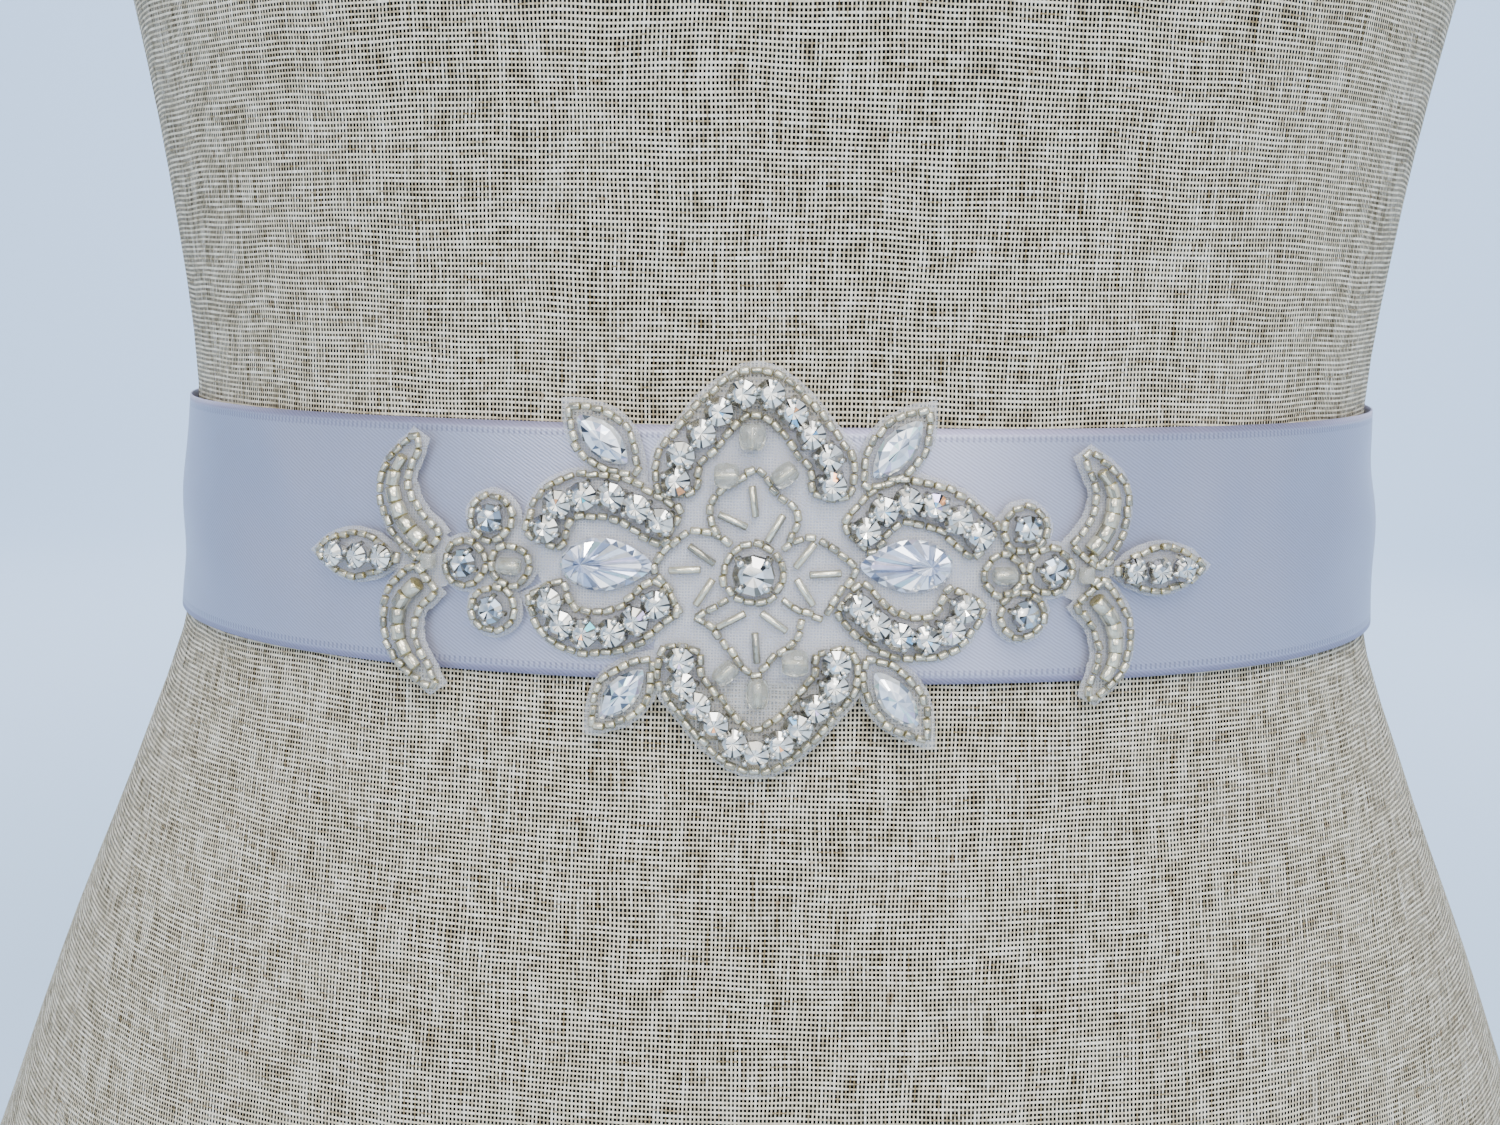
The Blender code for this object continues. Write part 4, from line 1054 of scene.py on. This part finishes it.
PETAL_RAYS = [
    [(-3.4, 4.2), (-5.2, 5.4), (-7.4, 6.0), (-9.4, 6.2)],
    [(3.9, 3.4), (5.6, 4.7), (7.4, 5.4), (9.2, 5.4)],
    [(4.2, -3.8), (6.2, -5.0), (8.2, -5.9), (10.2, -6.7)],
    [(-3.4, -3.8), (-5.2, -4.8), (-7.0, -5.9), (-8.4, -6.7)],
]
BUGLE_LENGTH = 4.6
BUGLE_RADIUS = 0.56
Bugle = namedtuple("Bugle", "along up turn")
BUGLES = [
    Bugle(-0.2, 10.6, 98), Bugle(-3.2, 7.7, 156), Bugle(3.0, 6.7, 60), Bugle(-7.6, 2.6, 145),
    Bugle(-10.0, 0.3, 3), Bugle(-7.1, -2.9, 58), Bugle(7.4, 2.8, 53), Bugle(10.4, 0.1, 4),
    Bugle(7.5, -2.6, 303), Bugle(-3.1, -7.0, 29), Bugle(3.1, -7.1, 325), Bugle(0.6, -11.0, 275),
]
BUGLE_BEAD = bead_template(BUGLE_RADIUS, BUGLE_LENGTH, 10, 0.10)
CENTRE_STONE = claw_stone_template(6, 4, table=0.50)

bm = new_beadwork()
string_beads(bm, round_outline(CENTRE_RING, 48), closed=True)
set_stones(bm, [(0, 0)], CENTRE_STONE_RADIUS, CENTRE_STONE, CENTRE_PAINTED_REFLECTIONS, CENTRE_STONE_RISE, turn=0)
lay_on_ribbon(bm)
add_piece("centre_beadwork", bm, BEADWORK, ["centre_stone"], smooth=False)

bm = new_beadwork()
for row in PETAL_ROWS:
    string_beads(bm, curve_through(row, 40))
for row in PETAL_RAYS:
    string_beads(bm, curve_through(row, 12))
lay_on_ribbon(bm)
add_piece("petal_beads", bm, BEADWORK[:1], smooth=False)

bm = new_beadwork()
for bugle in BUGLES:
    stamp(bm, BUGLE_BEAD, bugle.along, bugle.up, SEED_HEIGHT, turn=bugle.turn, roll=draw.uniform(0, 36),
          tilt=draw.uniform(-2, 2), tint_and_painted_glint=bead_colour_and_painted_glint())
lay_on_ribbon(bm)
add_piece("bugle_beads", bm, BEADWORK[:1], smooth=False)


# Teardrops. Pear-shaped moulded stones, foiled at the back, with grooves that fan out from near
# the round end and long facets towards the point. A thin colour film tints them pink and blue, and
# the facets carry painted reflections, bright and dark, with painted glints.

Drop = namedtuple("Drop", "name along up length width turn")
TEARDROPS = [
    Drop("teardrop_left", -21.5, 0.8, 13.6, 7.5, 0),
    Drop("teardrop_right", 22.1, 1.4, 13.4, 7.5, 180),
]
DROP_FOCUS = -0.26
# Painted shade in the grooves, tinted by the colour film.
DROP_GAP_COLOUR_AND_PAINTED_SHADE = [("#A9B2C6", 3), ("#D6DAE8", 3), ("#8C96AC", 1)]
# The colour film's pale blue, lilac and pink, mixed with painted reflections, bright and dark.
DROP_COLOUR_AND_PAINTED_REFLECTIONS = [
    ("#FFFFFF", 34), ("#E4E6F2", 26), ("#CBD0E2", 14), ("#A4AEC4", 6), ("#E6DCF0", 8),
    ("#CDEBF2", 6), ("#7E88A0", 4), ("#F3D6E2", 3),
]
NET_UNDER_TEARDROP = 4.0


def make_drop_stone(drop):
    """The stone flat at its place: a wall, a ring of grooves and long facets to the focus."""
    bm = new_beadwork()
    outline = drop_outline(drop.length, drop.width)
    focus = Vector((DROP_FOCUS * drop.length, 0, 0))
    edges = bmesh.ops.create_circle(bm, cap_ends=False, segments=len(outline), radius=1)["verts"]
    for v, (x, y) in zip(edges, outline):
        v.co = (x, y, STONE_BASE)
    ring = list(dict.fromkeys(e for v in edges for e in v.link_edges))
    for share, low, high in ((1.0, 0.9, 0.9), (0.86, 1.75, 1.30), (0.30, 2.60, 2.15)):
        made = bmesh.ops.extrude_edge_only(bm, edges=ring)["geom"]
        ring = [g for g in made if isinstance(g, bmesh.types.BMEdge)]
        verts = [g for g in made if isinstance(g, bmesh.types.BMVert)]
        base = [(v, min(outline, key=lambda p: abs(math.atan2(p[1], p[0] - focus.x)
                 - math.atan2(v.co.y, v.co.x - focus.x)))) for v in verts]
        for v, point in base:
            k = outline.index(point)
            v.co.x = focus.x + (point[0] - focus.x) * share
            v.co.y = point[1] * share
            v.co.z = STONE_BASE + (low if k % 2 else high)
    cap = bmesh.ops.contextual_create(bm, geom=ring)["faces"]
    middle = bmesh.ops.poke(bm, faces=cap, offset=0)["verts"]
    middle[0].co = (focus.x, 0, STONE_BASE + 1.9)
    bmesh.ops.triangulate(bm, faces=bm.faces[:])
    bmesh.ops.recalc_face_normals(bm, faces=bm.faces[:])
    colour_and_reflection_of = facet_colour_and_painted_reflection(DROP_COLOUR_AND_PAINTED_REFLECTIONS, DROP_GAP_COLOUR_AND_PAINTED_SHADE)
    layer = bm.loops.layers.float_color["tint_and_painted_glint"]
    for face in sorted(bm.faces, key=lambda f: [round(c, 3) for c in f.calc_center_median()]):
        face.material_index = 1
        colour = colour_and_reflection_of(face)
        for loop in face.loops:
            loop[layer] = colour
    bmesh.ops.rotate(bm, matrix=Matrix.Rotation(math.radians(drop.turn), 3, "Z"), verts=bm.verts)
    bmesh.ops.translate(bm, verts=bm.verts, vec=(drop.along, drop.up, 0))
    return bm


for drop in TEARDROPS:
    bm = make_drop_stone(drop)
    lay_on_ribbon(bm)
    add_piece(drop.name + "_stone", bm, BEADWORK, [drop.name], smooth=False)
    grown = drop_outline(drop.length + 2 * NET_UNDER_TEARDROP, drop.width + 2 * NET_UNDER_TEARDROP)
    net_outlines.append(turned(grown, drop.along, drop.up, drop.turn))


# Round crystals and links. Six grey-blue stones in four-claw cups, each in a ring of seed beads,
# three at either side, and a clear bead in a loop of seed beads that joins them to the eye.

Spot = namedtuple("Spot", "name along up")
CRYSTALS = [
    Spot("crystal_left_upper", -39.2, 7.0),
    Spot("crystal_left_middle", -43.1, 0.0),
    Spot("crystal_left_lower", -38.5, -6.7),
    Spot("crystal_right_upper", 39.5, 6.7),
    Spot("crystal_right_middle", 43.4, 0.5),
    Spot("crystal_right_lower", 39.2, -6.0),
]
# The grey-blue stones' own colour mixed with painted reflections, bright whites and dark greys, with weights.
CRYSTAL_COLOUR_AND_PAINTED_REFLECTIONS = [
    ("#A3B0BC", 20), ("#6E7B88", 12), ("#D0DAE2", 22), ("#3F4852", 7), ("#FBFDFD", 26),
    ("#A9C0CE", 10), ("#8A7F9C", 3),
]
CRYSTAL_RING = 3.30
CRYSTAL_NET = 3.9
CRYSTAL_STONE_RADIUS = 2.2
LINKS = [Spot("link_left", -36.0, 0.0), Spot("link_right", 36.4, 0.0)]
LINK_RING = 2.95
LINK_NET = 3.5
LINK_BEAD_HEIGHT = 4.2
CLEAR_BEAD = bead_template(1.3, 3.4, 12, 0.35, material=3)
ROUND_CRYSTAL = claw_stone_template(6, 4, table=0.55)


def make_clear_glass():
    """Clear lead-free glass, drawn and fire-polished: see-through with a pale rim and a bright
    line along it."""
    glass = Finish("clear_bead_glass")
    streak = glass.noise(glass.add("TexCoord", output="Object"), 800.0, 2.0)
    return glass.done({
        "Base Color": glass.blend(streak, "#B4AF98", "#FBF9F0"),
        "Roughness": glass.spread(streak, 0.0, 1.0, 0.02, 0.14),
        "Transmission Weight": 0.70,
        "IOR": 1.5,
    })


BEADWORK.append(make_clear_glass())

for spot in CRYSTALS:
    bm = new_beadwork()
    string_beads(bm, turned(round_outline(CRYSTAL_RING, 40), spot.along, spot.up), closed=True)
    set_stones(bm, [(spot.along, spot.up)], CRYSTAL_STONE_RADIUS, ROUND_CRYSTAL, CRYSTAL_COLOUR_AND_PAINTED_REFLECTIONS)
    lay_on_ribbon(bm)
    add_piece(spot.name + "_beadwork", bm, BEADWORK[:3], [spot.name], smooth=False)
    net_outlines.append(turned(round_outline(CRYSTAL_NET + NET_MARGIN, 24), spot.along, spot.up))

for spot in LINKS:
    bm = new_beadwork()
    string_beads(bm, turned(round_outline(LINK_RING, 40), spot.along, spot.up), closed=True)
    stamp(bm, CLEAR_BEAD, spot.along, spot.up, LINK_BEAD_HEIGHT, roll=15)
    stamp(bm, SEED_BEAD, spot.along, spot.up, LINK_BEAD_HEIGHT, scale=(1.5, 0.8, 0.8))
    lay_on_ribbon(bm)
    add_piece(spot.name + "_beadwork", bm, BEADWORK, [spot.name], smooth=False)
    net_outlines.append(turned(round_outline(LINK_NET + NET_MARGIN, 24), spot.along, spot.up))


# Leaves and end tips. Four leaves of seed beads with a marquise stone lie over the ribbon's edges,
# and a pointed tip with three claw-set stones ends each side.

Leaf = namedtuple("Leaf", "name along up length width turn stone_length stone_width")
LEAVES = [
    Leaf("leaf_left_upper", -22.5, 19.2, 15.6, 8.4, 138, 10.0, 4.9),
    Leaf("leaf_left_lower", -18.7, -18.4, 15.0, 7.8, 231, 9.6, 4.6),
    Leaf("leaf_right_upper", 20.4, 18.5, 16.2, 8.2, 51, 10.6, 4.9),
    Leaf("leaf_right_lower", 20.9, -18.4, 17.0, 8.0, 307, 10.2, 4.7),
]
# The marquise stones' pale colour film mixed with painted reflections, bright and dark, with weights.
MARQUISE_COLOUR_AND_PAINTED_REFLECTIONS = [
    ("#FFFFFF", 34), ("#E9ECF1", 24), ("#C4CCD8", 14), ("#8E9AAC", 8), ("#C3E2DE", 6),
    ("#D9CCE4", 6), ("#5A6472", 4), ("#2F343C", 2),
]
Tip = namedtuple("Tip", "name along up length width turn")
TIPS = [
    Tip("tip_left", -62.0, 0.0, 16.4, 7.6, 180),
    Tip("tip_right", 61.4, 0.2, 16.4, 7.6, 0),
]
TIP_STONES = (-5.4, -1.1, 3.0)
TIP_STONE_RADIUS = 2.0
LEAF_ROW_INSET = 0.45
LEAF_POINT_GROWTH = 1.8
MARQUISE_SIDES = 16


def leaf_shape(leaf, extra):
    flat = leaf_outline(leaf.length + 2 * LEAF_POINT_GROWTH * extra, leaf.width + 2 * extra)
    return turned(flat, leaf.along, leaf.up, leaf.turn)


def add_marquise(bm, leaf):
    """A pointed oval stone with a bevelled crown and a keel of facets."""
    face_count = len(bm.faces)
    made = bmesh.ops.create_circle(bm, cap_ends=True, segments=MARQUISE_SIDES, radius=1)["verts"]
    for v in made:
        x, y = v.co.x, v.co.y
        taper = 1 - 0.42 * x * x
        v.co = (x * leaf.stone_length / 2, y * taper * leaf.stone_width / 2, STONE_BASE + 0.5)
    faces = [f for f in made[0].link_faces]
    if faces[0].normal.z < 0:
        bmesh.ops.reverse_faces(bm, faces=faces)
    side = bmesh.ops.extrude_face_region(bm, geom=faces)["geom"]
    bmesh.ops.delete(bm, geom=faces, context="FACES_ONLY")
    bmesh.ops.translate(bm, verts=[g for g in side if isinstance(g, bmesh.types.BMVert)], vec=(0, 0, 0.6))
    top = [g for g in side if isinstance(g, bmesh.types.BMFace)]
    for share, rise in ((0.80, 0.75), (0.52, 0.45)):
        side = bmesh.ops.extrude_face_region(bm, geom=top)["geom"]
        bmesh.ops.delete(bm, geom=top, context="FACES_ONLY")
        verts = [g for g in side if isinstance(g, bmesh.types.BMVert)]
        top = [g for g in side if isinstance(g, bmesh.types.BMFace)]
        for v in verts:
            v.co = (v.co.x * share, v.co.y * share, v.co.z + rise)
    bmesh.ops.poke(bm, faces=top, offset=0.1)
    bm.faces.ensure_lookup_table()
    bmesh.ops.triangulate(bm, faces=[f for f in bm.faces[face_count:] if len(f.verts) == 4])
    bm.faces.ensure_lookup_table()
    layer = bm.loops.layers.float_color["tint_and_painted_glint"]
    colour_and_reflection_of = facet_colour_and_painted_reflection(MARQUISE_COLOUR_AND_PAINTED_REFLECTIONS, MARQUISE_COLOUR_AND_PAINTED_REFLECTIONS)
    stone = bm.faces[face_count:]
    for face in stone:
        face.material_index = 1
        colour = colour_and_reflection_of(face)
        for loop in face.loops:
            loop[layer] = colour
    verts = list({v for f in stone for v in f.verts})
    bmesh.ops.rotate(bm, matrix=Matrix.Rotation(math.radians(leaf.turn), 3, "Z"), verts=verts)
    bmesh.ops.translate(bm, verts=verts, vec=(leaf.along, leaf.up, 0))


for leaf in LEAVES:
    bm = new_beadwork()
    add_marquise(bm, leaf)
    string_beads(bm, softened(leaf_shape(leaf, -LEAF_ROW_INSET), 1), closed=True)
    lay_on_ribbon(bm)
    add_piece(leaf.name + "_beadwork", bm, BEADWORK[:3], [leaf.name], smooth=False)
    net_outlines.append(leaf_shape(leaf, NET_MARGIN))

for tip in TIPS:
    bm = new_beadwork()
    string_beads(bm, softened(leaf_shape(tip, -LEAF_ROW_INSET), 1), closed=True)
    places = turned([(x, 0) for x in TIP_STONES], tip.along, tip.up, tip.turn)
    set_stones(bm, places, TIP_STONE_RADIUS)
    lay_on_ribbon(bm)
    add_piece(tip.name + "_beadwork", bm, BEADWORK[:3], [tip.name], smooth=False)
    net_outlines.append(leaf_shape(tip, NET_MARGIN))


# Arms. Four curved arms branch off before each tip: a middle row of larger clear silver-lined
# tubes between two rows of seed beads that meet at the point.

Arm = namedtuple("Arm", "name line")
ARMS = [
    Arm("arm_left_upper", [(-49.0, 2.0), (-53.6, 6.4), (-55.4, 11.4), (-51.6, 18.8)]),
    Arm("arm_left_lower", [(-49.6, -2.6), (-53.4, -6.8), (-53.4, -12.0), (-47.6, -19.2)]),
    Arm("arm_right_upper", [(48.8, 2.4), (52.2, 7.0), (53.0, 11.4), (48.8, 17.8)]),
    Arm("arm_right_lower", [(49.6, -3.0), (53.0, -7.4), (53.6, -12.0), (50.0, -19.0)]),
]
ARM_HALF = 3.5
ARM_TIP_HALF = 1.1
ARM_ROW_INSET = 0.60
ARM_TUBES = 6
ARM_TUBE_HEIGHT = 3.9
ARM_TUBE = bead_template(1.32, 2.5, 12, 0.25)
JUNCTION_BEADS = [(-48.9, 0.0), (48.9, -0.2)]
JUNCTION_ROWS = [
    [(-53.4, 1.8), (-51.4, 0.9), (-49.6, 3.0)], [(-52.6, -1.6), (-50.8, -0.9), (-49.4, -3.4)],
    [(53.2, 2.0), (51.2, 1.0), (49.6, 3.0)], [(52.8, -1.5), (50.8, -1.0), (49.4, -3.6)],
]

for arm in ARMS:
    line = curve_through(arm.line, 31)
    half = ARM_HALF + (ARM_TIP_HALF - ARM_HALF) * np.linspace(0, 1, len(line)) ** 3
    bm = new_beadwork()
    string_beads(bm, softened(strip_outline(line, half - ARM_ROW_INSET), 2), closed=True)
    spots = evenly(line, 2 * ARM_TUBES + 3, 1.2)
    for k in range(ARM_TUBES):
        x, y = spots[2 * k + 1]
        dx, dy = spots[2 * k + 2] - spots[2 * k]
        slim = 1 - 0.35 * (k / (ARM_TUBES - 1)) ** 2
        stamp(bm, ARM_TUBE, x, y, ARM_TUBE_HEIGHT, turn=math.degrees(math.atan2(dy, dx)),
              roll=draw.uniform(0, 36), scale=(1, slim, slim), tint_and_painted_glint=bead_colour_and_painted_glint())
    lay_on_ribbon(bm)
    add_piece(arm.name + "_beadwork", bm, BEADWORK[:1], [arm.name], smooth=False)
    net_outlines.append(strip_outline(line, half + NET_MARGIN, NET_MARGIN))

bm = new_beadwork()
for x, y in JUNCTION_BEADS:
    stamp(bm, CLEAR_BEAD, x, y, LINK_BEAD_HEIGHT - 0.3, turn=90, scale=(0.7, 0.9, 0.9))
for row in JUNCTION_ROWS:
    string_beads(bm, curve_through(row, 9))
lay_on_ribbon(bm)
add_piece("junction_beads", bm, BEADWORK, smooth=False)


# Large clear beads. Six thick glass beads, round or barrel-shaped, fill the spaces inside the two
# arches, each held by a thread through its hole.

Bead = namedtuple("Bead", "name along up half_length radius turn")
LARGE_BEADS = [
    Bead("bead_top_middle", -0.6, 20.1, 2.0, 2.0, 90),
    Bead("bead_top_left", -4.2, 14.4, 1.9, 1.9, 0),
    Bead("bead_top_right", 4.2, 14.6, 2.0, 1.6, 40),
    Bead("bead_bottom_left", -3.7, -14.7, 1.9, 1.5, 45),
    Bead("bead_bottom_middle", 1.0, -17.6, 2.2, 1.7, 90),
    Bead("bead_bottom_right", 6.3, -12.9, 2.0, 2.0, 0),
]
LARGE_BEAD_BASE = 2.95


def barrel_bead_template(sides=32):
    """A ring bead of radius 1 and half length 1 along X, with a hole."""
    bm = bmesh.new()
    profile = [(-0.78, 0.26), (-0.94, 0.45), (-0.90, 0.72), (-0.60, 0.92), (0.0, 1.0),
               (0.60, 0.92), (0.90, 0.72), (0.94, 0.45), (0.78, 0.26)]
    verts = [bm.verts.new((x, 0, r)) for x, r in profile]
    edges = [bm.edges.new(pair) for pair in zip(verts, verts[1:] + verts[:1])]
    bmesh.ops.spin(bm, geom=verts + edges, cent=(0, 0, 0), axis=(1, 0, 0), angle=math.tau, steps=sides,
                   use_merge=True)
    bmesh.ops.remove_doubles(bm, verts=bm.verts, dist=1e-4)
    bmesh.ops.recalc_face_normals(bm, faces=bm.faces[:])
    for face in bm.faces:
        face.material_index = 3
        face.smooth = True
    mesh = bpy.data.meshes.new("barrel_bead")
    bm.to_mesh(mesh)
    bm.free()
    return mesh


BARREL_BEAD = barrel_bead_template()

for bead in LARGE_BEADS:
    bm = new_beadwork()
    stamp(bm, BARREL_BEAD, bead.along, bead.up, LARGE_BEAD_BASE + 0.92 * bead.radius, turn=bead.turn,
          scale=(bead.half_length, bead.radius, 0.92 * bead.radius))
    stamp(bm, SEED_BEAD, bead.along, bead.up, LARGE_BEAD_BASE + 0.92 * bead.radius, turn=bead.turn,
          scale=(1.5 * bead.half_length / SEED_LENGTH, 0.85, 0.85))
    lay_on_ribbon(bm)
    add_piece(bead.name + "_glass", bm, BEADWORK, [bead.name], smooth=False)


# Net backing. A single layer of sheer stiffened net, cut by hand a little outside the beadwork,
# carries all the beads and is stitched to the ribbon.

NET_FACE = 2.8
NET_THICKNESS = 0.2 * MM
NetPatch = namedtuple("NetPatch", "along up half_length half_width")
NET_PATCHES = [
    NetPatch(0.0, 0.0, 16.0, 13.0),
    NetPatch(-48.5, 0.0, 4.5, 4.2),
    NetPatch(48.3, 0.0, 4.5, 4.2),
]
NET_PATCH_SIDES = 24
NET_HOLE_SIDES = 60


def anticlockwise(outline):
    xs, ys = np.array(outline, float).T
    area = np.sum(xs * np.roll(ys, -1) - ys * np.roll(xs, -1))
    return list(outline) if area > 0 else list(outline)[::-1]


def make_net():
    outlines = list(net_outlines)
    for patch in NET_PATCHES:
        flat = round_outline(patch.half_width, NET_PATCH_SIDES, patch.half_length / patch.half_width)
        outlines.append(turned(flat, patch.along, patch.up))
    points, faces = [], []
    for outline in map(anticlockwise, outlines):
        faces.append(list(range(len(points), len(points) + len(outline))))
        points += [Vector((x, y)) for x, y in outline]
    spots, _, cut, _, _, origins = delaunay_2d_cdt(points, [], faces, 1, 1e-4)
    bm = bmesh.new()
    verts = [bm.verts.new((p.x, p.y, NET_FACE)) for p in spots]
    for corners, origin in zip(cut, origins):
        if origin:
            bm.faces.new([verts[i] for i in corners])
    bmesh.ops.delete(bm, geom=[v for v in bm.verts if not v.link_faces], context="VERTS")
    rim = [e for e in bm.edges if e.is_boundary]
    bmesh.ops.holes_fill(bm, edges=rim, sides=NET_HOLE_SIDES)
    bmesh.ops.dissolve_limit(bm, angle_limit=0.01, verts=bm.verts[:], edges=bm.edges[:])
    bmesh.ops.triangulate(bm, faces=bm.faces[:])
    for _ in range(3):
        long_edges = [e for e in bm.edges if e.calc_length() > 3]
        bmesh.ops.subdivide_edges(bm, edges=long_edges, cuts=1)
        bmesh.ops.triangulate(bm, faces=bm.faces[:])
    border = [v for v in bm.verts if v.is_boundary]
    for v in border:
        v.co.x += draw.uniform(-0.12, 0.12)
        v.co.y += draw.uniform(-0.12, 0.12)
        v.co.z += draw.uniform(-0.1, 0.15)
    cloth_map(bm)
    area = sum(f.calc_area() for f in bm.faces) * MM * MM
    lay_on_ribbon(bm)
    bmesh.ops.recalc_face_normals(bm, faces=bm.faces[:])
    if sum(f.normal.y * f.calc_area() for f in bm.faces) > 0:
        bmesh.ops.reverse_faces(bm, faces=bm.faces[:])
    return bm, area


def make_net_cloth():
    """Stiffened nylon net, knitted: a sheer white veil with a fine mesh that frosts what is
    behind it."""
    mesh_size = 0.45
    net = Finish("nylon_net")
    uv = net.add("UVMap", uv_map="cloth")
    cell = net.add("TexVoronoi", {"Vector": uv, "Scale": 1 / mesh_size, "Randomness": 0.25},
                   feature="DISTANCE_TO_EDGE")
    thread = net.spread(cell, 0.05, 0.22, 0.42, 0.24)
    haze = net.noise(uv, 0.35, 3.0, 0.3, 0.7, 0.75, 1.15)
    return net.done({
        "Alpha": net.math("MULTIPLY", thread, haze),
        "Base Color": net.blend(thread, "#D6D4D2", "#F2F0EC"),
        "Roughness": 0.45,
    })


net_bm, net_area = make_net()
net_backing = add_piece("net_backing", net_bm, [make_net_cloth()], ["applique_net"])
add_thickness(net_backing, NET_THICKNESS)


# Studio. A plain pale blue-grey floor that curves up into a round wall, far behind every lamp,
# with one broad soft window light in front and above, small lamps for sparkle and soft ones round
# the sides and back.

WALL_RADIUS = 3.0
WALL_BEND = 1.1
WALL_TOP = 3.4
WALL_STEPS = 20
WALL_SIDES = 96
FLOOR_BELOW = 0.5 * MM
AIR_COLOUR = "#C9D8E2"
AIR_STRENGTH = 0.17

SoftLight = namedtuple("SoftLight", "name place aim size power colour")
SOFT_LIGHTS = [
    SoftLight("window", (0.38, -1.00, 1.72), (0, 0, 0.27), 1.1, 27, "#F2F6FF"),
    SoftLight("front", (0.06, -1.35, 0.88), (0, 0, 0.27), 1.8, 21, "#FFFCF6"),
    SoftLight("sparkle_left", (-0.50, -0.95, 0.75), (0, 0, 0.27), 0.30, 1.8, "#FFFFFF"),
    SoftLight("sparkle_right", (0.25, -1.05, 0.62), (0, 0, 0.27), 0.14, 1.6, "#FFFFFF"),
    SoftLight("side_left", (-1.30, -0.40, 0.55), (0, 0, 0.27), 1.2, 2.0, "#FFFFFF"),
    SoftLight("side_right", (1.30, -0.40, 0.55), (0, 0, 0.27), 1.2, 1.6, "#FFFFFF"),
    SoftLight("wall_behind", (0.0, 1.55, 2.40), (0, 2.6, 0.6), 2.2, 122, "#F4F8FF"),
    SoftLight("wall_in_front", (0.0, -1.75, 2.60), (0, -2.8, 0.6), 2.0, 18, "#FFFBF4"),
    SoftLight("back_left", (-1.10, 1.20, 1.10), (0, 0, 0.27), 0.8, 9, "#FFFFFF"),
    SoftLight("back_right", (1.10, 1.20, 0.80), (0, 0, 0.27), 0.8, 6, "#FFFFFF"),
]

stage_bm = bmesh.new()
profile = [(0.0, 0.0), (WALL_RADIUS - WALL_BEND, 0.0)]
for k in range(1, WALL_STEPS + 1):
    a = math.pi / 2 * k / WALL_STEPS
    profile.append((WALL_RADIUS - WALL_BEND * (1 - math.sin(a)), WALL_BEND * (1 - math.cos(a))))
profile.append((WALL_RADIUS, WALL_TOP))
verts = [stage_bm.verts.new((x, 0, z - FLOOR_BELOW)) for x, z in profile]
edges = [stage_bm.edges.new(pair) for pair in zip(verts, verts[1:])]
bmesh.ops.spin(stage_bm, geom=verts + edges, cent=(0, 0, 0), axis=(0, 0, 1), angle=math.tau,
               steps=WALL_SIDES, use_merge=True)
bmesh.ops.remove_doubles(stage_bm, verts=stage_bm.verts[:], dist=1e-5)
bmesh.ops.recalc_face_normals(stage_bm, faces=stage_bm.faces[:])
stage_mesh = bpy.data.meshes.new("studio_floor")
stage_bm.to_mesh(stage_mesh)
stage_bm.free()
stage_mesh.shade_smooth()
stage = bpy.data.objects.new("studio_floor", stage_mesh)
bpy.context.scene.collection.objects.link(stage)
stage_paint = Finish("matt_paint")
stage_mesh.materials.append(stage_paint.done({
    "Base Color": linear("#B8CDE3"),
    "Roughness": 0.9,
    "Specular IOR Level": 0.1,
}))

air = bpy.data.worlds.new("studio_air")
air.use_nodes = True
air.node_tree.nodes["Background"].inputs["Color"].default_value = linear(AIR_COLOUR)
air.node_tree.nodes["Background"].inputs["Strength"].default_value = AIR_STRENGTH
bpy.context.scene.world = air

for light in SOFT_LIGHTS:
    lamp = bpy.data.lights.new(light.name, "AREA")
    lamp.shape = "RECTANGLE"
    lamp.size, lamp.size_y = light.size, 0.75 * light.size
    lamp.energy = light.power
    lamp.color = linear(light.colour)[:3]
    holder = bpy.data.objects.new(light.name, lamp)
    holder.location = light.place
    aim = Vector(light.aim) - Vector(light.place)
    holder.rotation_euler = aim.to_track_quat("-Z", "Y").to_euler()
    bpy.context.scene.collection.objects.link(holder)
